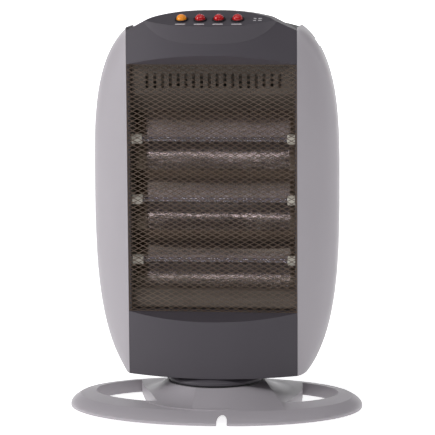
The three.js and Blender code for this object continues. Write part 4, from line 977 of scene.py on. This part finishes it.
def build_neck(finish):
    """The round collar that carries the body, rounded at its foot."""
    low, top, radius, roll = NECK_LOW[2], NECK_HIGH[2], NECK_RADIUS, 0.8
    shoulder_low, shoulder_rise = low + 2.4, top - 1 - low - 2.4
    shoulder = [(radius - 4.6 * t ** 1.5, shoulder_low + shoulder_rise * t) for t in steps(8)]
    foot = arc(radius - roll, low + roll, roll, -pi / 2, 0, 4)
    profile = [(0, top - 2.2), (radius - 5, top - 2.2), (radius - 3, low), *foot, *shoulder,
               (radius - 5.2, top - 0.3), (radius - 6, top), (0, top)]
    post_hole, shaft_hole = rod_form(6.6, 0, 99), rod_form(4, 0, 99, Matrix.Translation((0, -26, 0)))
    finished(cut(spun(profile, 128), post_hole, shaft_hole), "collar", finish, "body", ["neck"], corner=24)


# ---- finishes of this heater
def paint(red, green, blue):
    """A colour given as 0 to 255 on a screen, as the shaders take it."""
    shares = (red / 255, green / 255, blue / 255)
    return tuple(s / 12.92 if s <= 0.04045 else ((s + 0.055) / 1.055) ** 2.4 for s in shares)


def heater_finishes(colours):
    """Every finish by the name of its slot in the record."""
    return {
        "light_plastic": moulded("lavender_grey_moulding", colours.cover, 0.42, 0.014),
        "dark_plastic": moulded("dark_grey_moulding", colours.frame, 0.46, 0.016, Specular_IOR_Level=0.3),
        "black_plastic": moulded("black_moulding", colours.back, 0.55, 0.03, Specular_IOR_Level=0.3),
        "white_plastic": moulded("natural_nylon", paint(230, 226, 218), 0.45),
        "orange_rocker": tinted_gloss("orange_rocker", colours.power_switch),
        "red_rocker": tinted_gloss("red_rocker", colours.heat_switches),
        # painted shade: the steel is darker than bare zinc plate so that the parts inside the body look
        # shaded, and the screws outside get it too
        "steel": sheet_metal("zinc_plate", paint(112, 108, 103), 0.4),
        "guard_steel": sheet_metal("guard_steel", colours.guard, 0.55, (1, 1, 0.3), stain=0.22),
        "polished_aluminium": rolled_mirror("mirror_sheet", colours.reflector, (FIRST_TROUGH - 4) * MM,
                                            (LAST_TROUGH + 4) * MM),
        "ceramic": fired_ceramic("steatite", paint(233, 228, 216)),
        "quartz": quartz_glass("drawn_quartz", paint(236, 234, 242)),
        "tungsten": coiled_wire("tungsten", paint(120, 112, 104)),
        "rubber": moulded("foot_rubber", paint(36, 36, 36), 0.8, 0.05),
        "sleeve": braided_sleeve("glass_sleeve", paint(216, 210, 196)),
        "ink": printed_ink("pale_ink", paint(206, 203, 206)),
    }


MADE = {}


def finishes():
    """The finishes, made once."""
    if not MADE:
        MADE.update(heater_finishes(bpy.context.scene.heater_colours))
    return MADE


# ---- settings
def length(name, description, default, low, high):
    """A setting in metres."""
    return bpy.props.FloatProperty(name=name, description=description, default=default, min=low, max=high,
                                   unit="LENGTH", precision=5)


def colour(name, description, default):
    """A colour setting."""
    return bpy.props.FloatVectorProperty(name=name, description=description, default=default, subtype="COLOR",
                                         min=0, max=1)


class HeaterSizes(bpy.types.PropertyGroup):
    edge_softness: length("Edge softness", "Rounding of the mouldings' edges", 0.0007, 0, 0.0015)
    mesh_width: length("Guard mesh width", "Distance between two meshes along X", 0.0114, 0.006, 0.02)
    mesh_height: length("Guard mesh height", "Distance between two rows of meshes", 0.00586, 0.003, 0.01)
    strand: length("Guard strand", "Width of a strand of the guard", 0.00085, 0.0005, 0.002)
    sheet_thickness: length("Reflector sheet", "Thickness of the reflector's sheet", 0.001, 0.0003, 0.001)
    filament_turns: bpy.props.IntProperty(name="Filament turns", description="Turns of each filament's coil",
                                          default=110, min=20, max=200)


class HeaterColours(bpy.types.PropertyGroup):
    cover: colour("Covers and base", "Light moulded plastic", paint(161, 156, 161))
    frame: colour("Front frame", "Dark moulded plastic", paint(69, 65, 71))
    back: colour("Back", "Black moulded plastic", paint(30, 29, 32))
    guard: colour("Guard", "Expanded steel", paint(116, 101, 90))
    reflector: colour("Reflector", "Polished aluminium", paint(140, 130, 122))
    power_switch: colour("First rocker", "Tint of the first rocker", paint(255, 150, 10))
    heat_switches: colour("Other rockers", "Tint of the other rockers", paint(190, 8, 18))


# ---- stage
SWEEP_SIDE, SWEEP_BACK, SWEEP_RADIUS, SWEEP_TOP, SWEEP_THICKNESS = 16000, 9000, 900, 3400, 2
LIGHTS = (  # name, place and size in metres, power in watts
    ("key", (-2.6, -1.3, 1.5), (1.0, 1.0), 46),
    ("high", (0.0, -2.2, 3.0), (3.2, 0.3), 34),
    ("rim", (1.9, 0.4, 0.6), (0.4, 1.2), 3.5),
    ("top", (0.0, 0.3, 2.4), (1.8, 1.0), 2),
)
LIGHTS_AIM = Vector((0, 0, 0.25))
CAMERA_AROUND, CAMERA_DOWN, CAMERA_ROLL = radians(7), radians(7.63), radians(0.4)
CAMERA_AWAY, CAMERA_HEIGHT = 2.8, 0.62
LENS, SHIFT_X, SHIFT_Y = 191.6, 0.0109, -0.0202


def grey(share):
    """A neutral grey."""
    return (share, share, share)


def pale_floor():
    """Matt paper that glows: less in front of the heater, and most far behind it."""
    made = Finish("pale_floor", Emission_Strength=0.95)
    haze, depth = made.noise(3), made.along("Y")
    behind = made.between(made.rising(depth, 0.5, 3.0), grey(0.76), grey(0.96))
    return made.show(Base_Color=made.between(haze, grey(0.9), grey(0.93)), Roughness=haze * 0.1 + 0.75,
                     Emission_Color=made.between(made.rising(depth, -0.9, -0.26), grey(0.42), behind))


def build_floor():
    """A floor that curves up into a wall far behind."""
    back, top, under = SWEEP_BACK + SWEEP_RADIUS, SWEEP_TOP, -SWEEP_THICKNESS
    curve = arc(SWEEP_BACK, SWEEP_RADIUS, SWEEP_RADIUS, 0.1 - pi / 2, 0, 12)
    sweep = [(-SWEEP_SIDE, under), (-SWEEP_SIDE, 0), (SWEEP_BACK, 0), *curve,
             (back, top), (back + SWEEP_THICKNESS, top), (back + SWEEP_THICKNESS, under)]
    floor = slab(sweep, -SWEEP_SIDE, SWEEP_SIDE, axis=0)
    floor.data.transform(Matrix.Scale(MM, 4))
    floor.data.shade_smooth()
    floor.data.set_sharp_from_angle(angle=radians(30))
    floor.name = "studio_floor"
    floor.data.materials.append(pale_floor())


def build_world(scene):
    """A sky that is dim below and brighter above."""
    scene.world = bpy.data.worlds.new("studio")
    scene.world.use_nodes = True
    sky = Nodes(scene.world.node_tree)
    place = sky.node("ShaderNodeTexCoord", out="Generated")
    height = sky.node("ShaderNodeSeparateXYZ", {}, {0: place}, "Z")
    shade = sky.between(sky.rising(height, 0.1, 0.85), (0.06, 0.06, 0.063), (0.36, 0.36, 0.375))
    sky.feed(sky.tree.nodes["Background"].inputs["Color"], shade)


def build_lights(scene):
    """Rectangular lights that face the heater."""
    for name, place, size, power in LIGHTS:
        light = bpy.data.lights.new(name, "AREA")
        light.shape, light.size, light.size_y, light.energy = "RECTANGLE", *size, power
        lamp = bpy.data.objects.new(name, light)
        lamp.location = place
        lamp.rotation_euler = (LIGHTS_AIM - Vector(place)).to_track_quat("-Z", "Y").to_euler()
        scene.collection.objects.link(lamp)


def build_camera(scene):
    """A long lens in front of the heater, a little to one side and above."""
    lens = bpy.data.cameras.new("camera")
    lens.sensor_width, lens.lens, lens.clip_end = 36, LENS, 50
    lens.shift_x, lens.shift_y = SHIFT_X, SHIFT_Y
    camera = bpy.data.objects.new("camera", lens)
    camera.location = (CAMERA_AWAY * sin(CAMERA_AROUND), -CAMERA_AWAY * cos(CAMERA_AROUND), CAMERA_HEIGHT)
    camera.rotation_euler = (pi / 2 - CAMERA_DOWN, CAMERA_ROLL, CAMERA_AROUND)
    scene.collection.objects.link(camera)
    scene.camera = camera
    scene.view_settings.view_transform = "Standard"


# ---- operators
class HEATER_OT_dress_frame(bpy.types.Operator):
    """Give every frame node its finish"""

    bl_idname = "heater.dress_frame"
    bl_label = "Dress the Frame"

    def execute(self, context):
        for part in FRAME["record"]["subparts"]:
            mesh = FRAME["nodes"][part["node"]].data
            mesh.materials.clear()
            mesh.materials.append(finishes()[part["material_slot"]])
        return {"FINISHED"}


class HEATER_OT_front_frame(bpy.types.Operator):
    """Build the front frame with its control pod"""

    bl_idname = "heater.front_frame"
    bl_label = "Front Frame"

    def execute(self, context):
        build_front_frame(context.scene.heater_sizes, finishes()["dark_plastic"])
        return {"FINISHED"}


class HEATER_OT_side_panels(bpy.types.Operator):
    """Build the two side panels"""

    bl_idname = "heater.side_panels"
    bl_label = "Side Panels"

    def execute(self, context):
        build_side_panels(context.scene.heater_sizes, finishes()["light_plastic"])
        return {"FINISHED"}


class HEATER_OT_rear_housing(bpy.types.Operator):
    """Build the rear housing with its screws and lead bush"""

    bl_idname = "heater.rear_housing"
    bl_label = "Rear Housing"

    def execute(self, context):
        build_rear_housing(finishes()["black_plastic"])
        build_rear_screws(finishes()["steel"])
        build_lead_bush(finishes()["black_plastic"])
        return {"FINISHED"}


class HEATER_OT_guard(bpy.types.Operator):
    """Build the expanded-metal guard"""

    bl_idname = "heater.guard"
    bl_label = "Guard"

    def execute(self, context):
        build_guard(context.scene.heater_sizes, finishes()["guard_steel"])
        return {"FINISHED"}


class HEATER_OT_reflector(bpy.types.Operator):
    """Build the reflector"""

    bl_idname = "heater.reflector"
    bl_label = "Reflector"

    def execute(self, context):
        build_reflector(context.scene.heater_sizes, finishes()["polished_aluminium"])
        return {"FINISHED"}


class HEATER_OT_lamps(bpy.types.Operator):
    """Build the quartz lamps"""

    bl_idname = "heater.lamps"
    bl_label = "Lamps"

    def execute(self, context):
        build_lamps(context.scene.heater_sizes, finishes())
        return {"FINISHED"}


class HEATER_OT_switches(bpy.types.Operator):
    """Build the rocker switches and the marks beside them"""

    bl_idname = "heater.switches"
    bl_label = "Switches"

    def execute(self, context):
        build_switches(finishes())
        return {"FINISHED"}


class HEATER_OT_ring_base(bpy.types.Operator):
    """Build the ring base, its feet and the neck above it"""

    bl_idname = "heater.ring_base"
    bl_label = "Ring Base"

    def execute(self, context):
        build_ring_base(context.scene.heater_sizes, finishes()["light_plastic"])
        build_feet(finishes()["rubber"])
        build_neck(finishes()["dark_plastic"])
        return {"FINISHED"}


class HEATER_OT_stage(bpy.types.Operator):
    """Set up the floor, the lights and the camera"""

    bl_idname = "heater.stage"
    bl_label = "Studio Stage"

    def execute(self, context):
        build_floor()
        for build in (build_world, build_lights, build_camera):
            build(context.scene)
        return {"FINISHED"}


OPERATORS = (HEATER_OT_dress_frame, HEATER_OT_front_frame, HEATER_OT_side_panels, HEATER_OT_rear_housing,
             HEATER_OT_guard, HEATER_OT_reflector, HEATER_OT_lamps, HEATER_OT_switches, HEATER_OT_ring_base,
             HEATER_OT_stage)


class HEATER_PT_panel(bpy.types.Panel):
    """The heater's settings and the steps that build it"""

    bl_label = "Halogen Heater"
    bl_idname = "HEATER_PT_panel"
    bl_space_type = "VIEW_3D"
    bl_region_type = "UI"
    bl_category = "Heater"

    def draw(self, context):
        for group in (context.scene.heater_sizes, context.scene.heater_colours):
            for setting in group.bl_rna.properties.keys():
                if setting not in ("rna_type", "name"):
                    self.layout.prop(group, setting)
        for operator in OPERATORS:
            self.layout.operator(operator.bl_idname)


CLASSES = (HeaterSizes, HeaterColours, *OPERATORS, HEATER_PT_panel)


def register():
    for each in CLASSES:
        bpy.utils.register_class(each)
    bpy.types.Scene.heater_sizes = bpy.props.PointerProperty(type=HeaterSizes)
    bpy.types.Scene.heater_colours = bpy.props.PointerProperty(type=HeaterColours)


def unregister():
    del bpy.types.Scene.heater_colours
    del bpy.types.Scene.heater_sizes
    for each in reversed(CLASSES):
        bpy.utils.unregister_class(each)


def main():
    register()
    for operator in OPERATORS:
        section, step = operator.bl_idname.split(".")
        getattr(getattr(bpy.ops, section), step)()


if __name__ == "__main__":
    main()
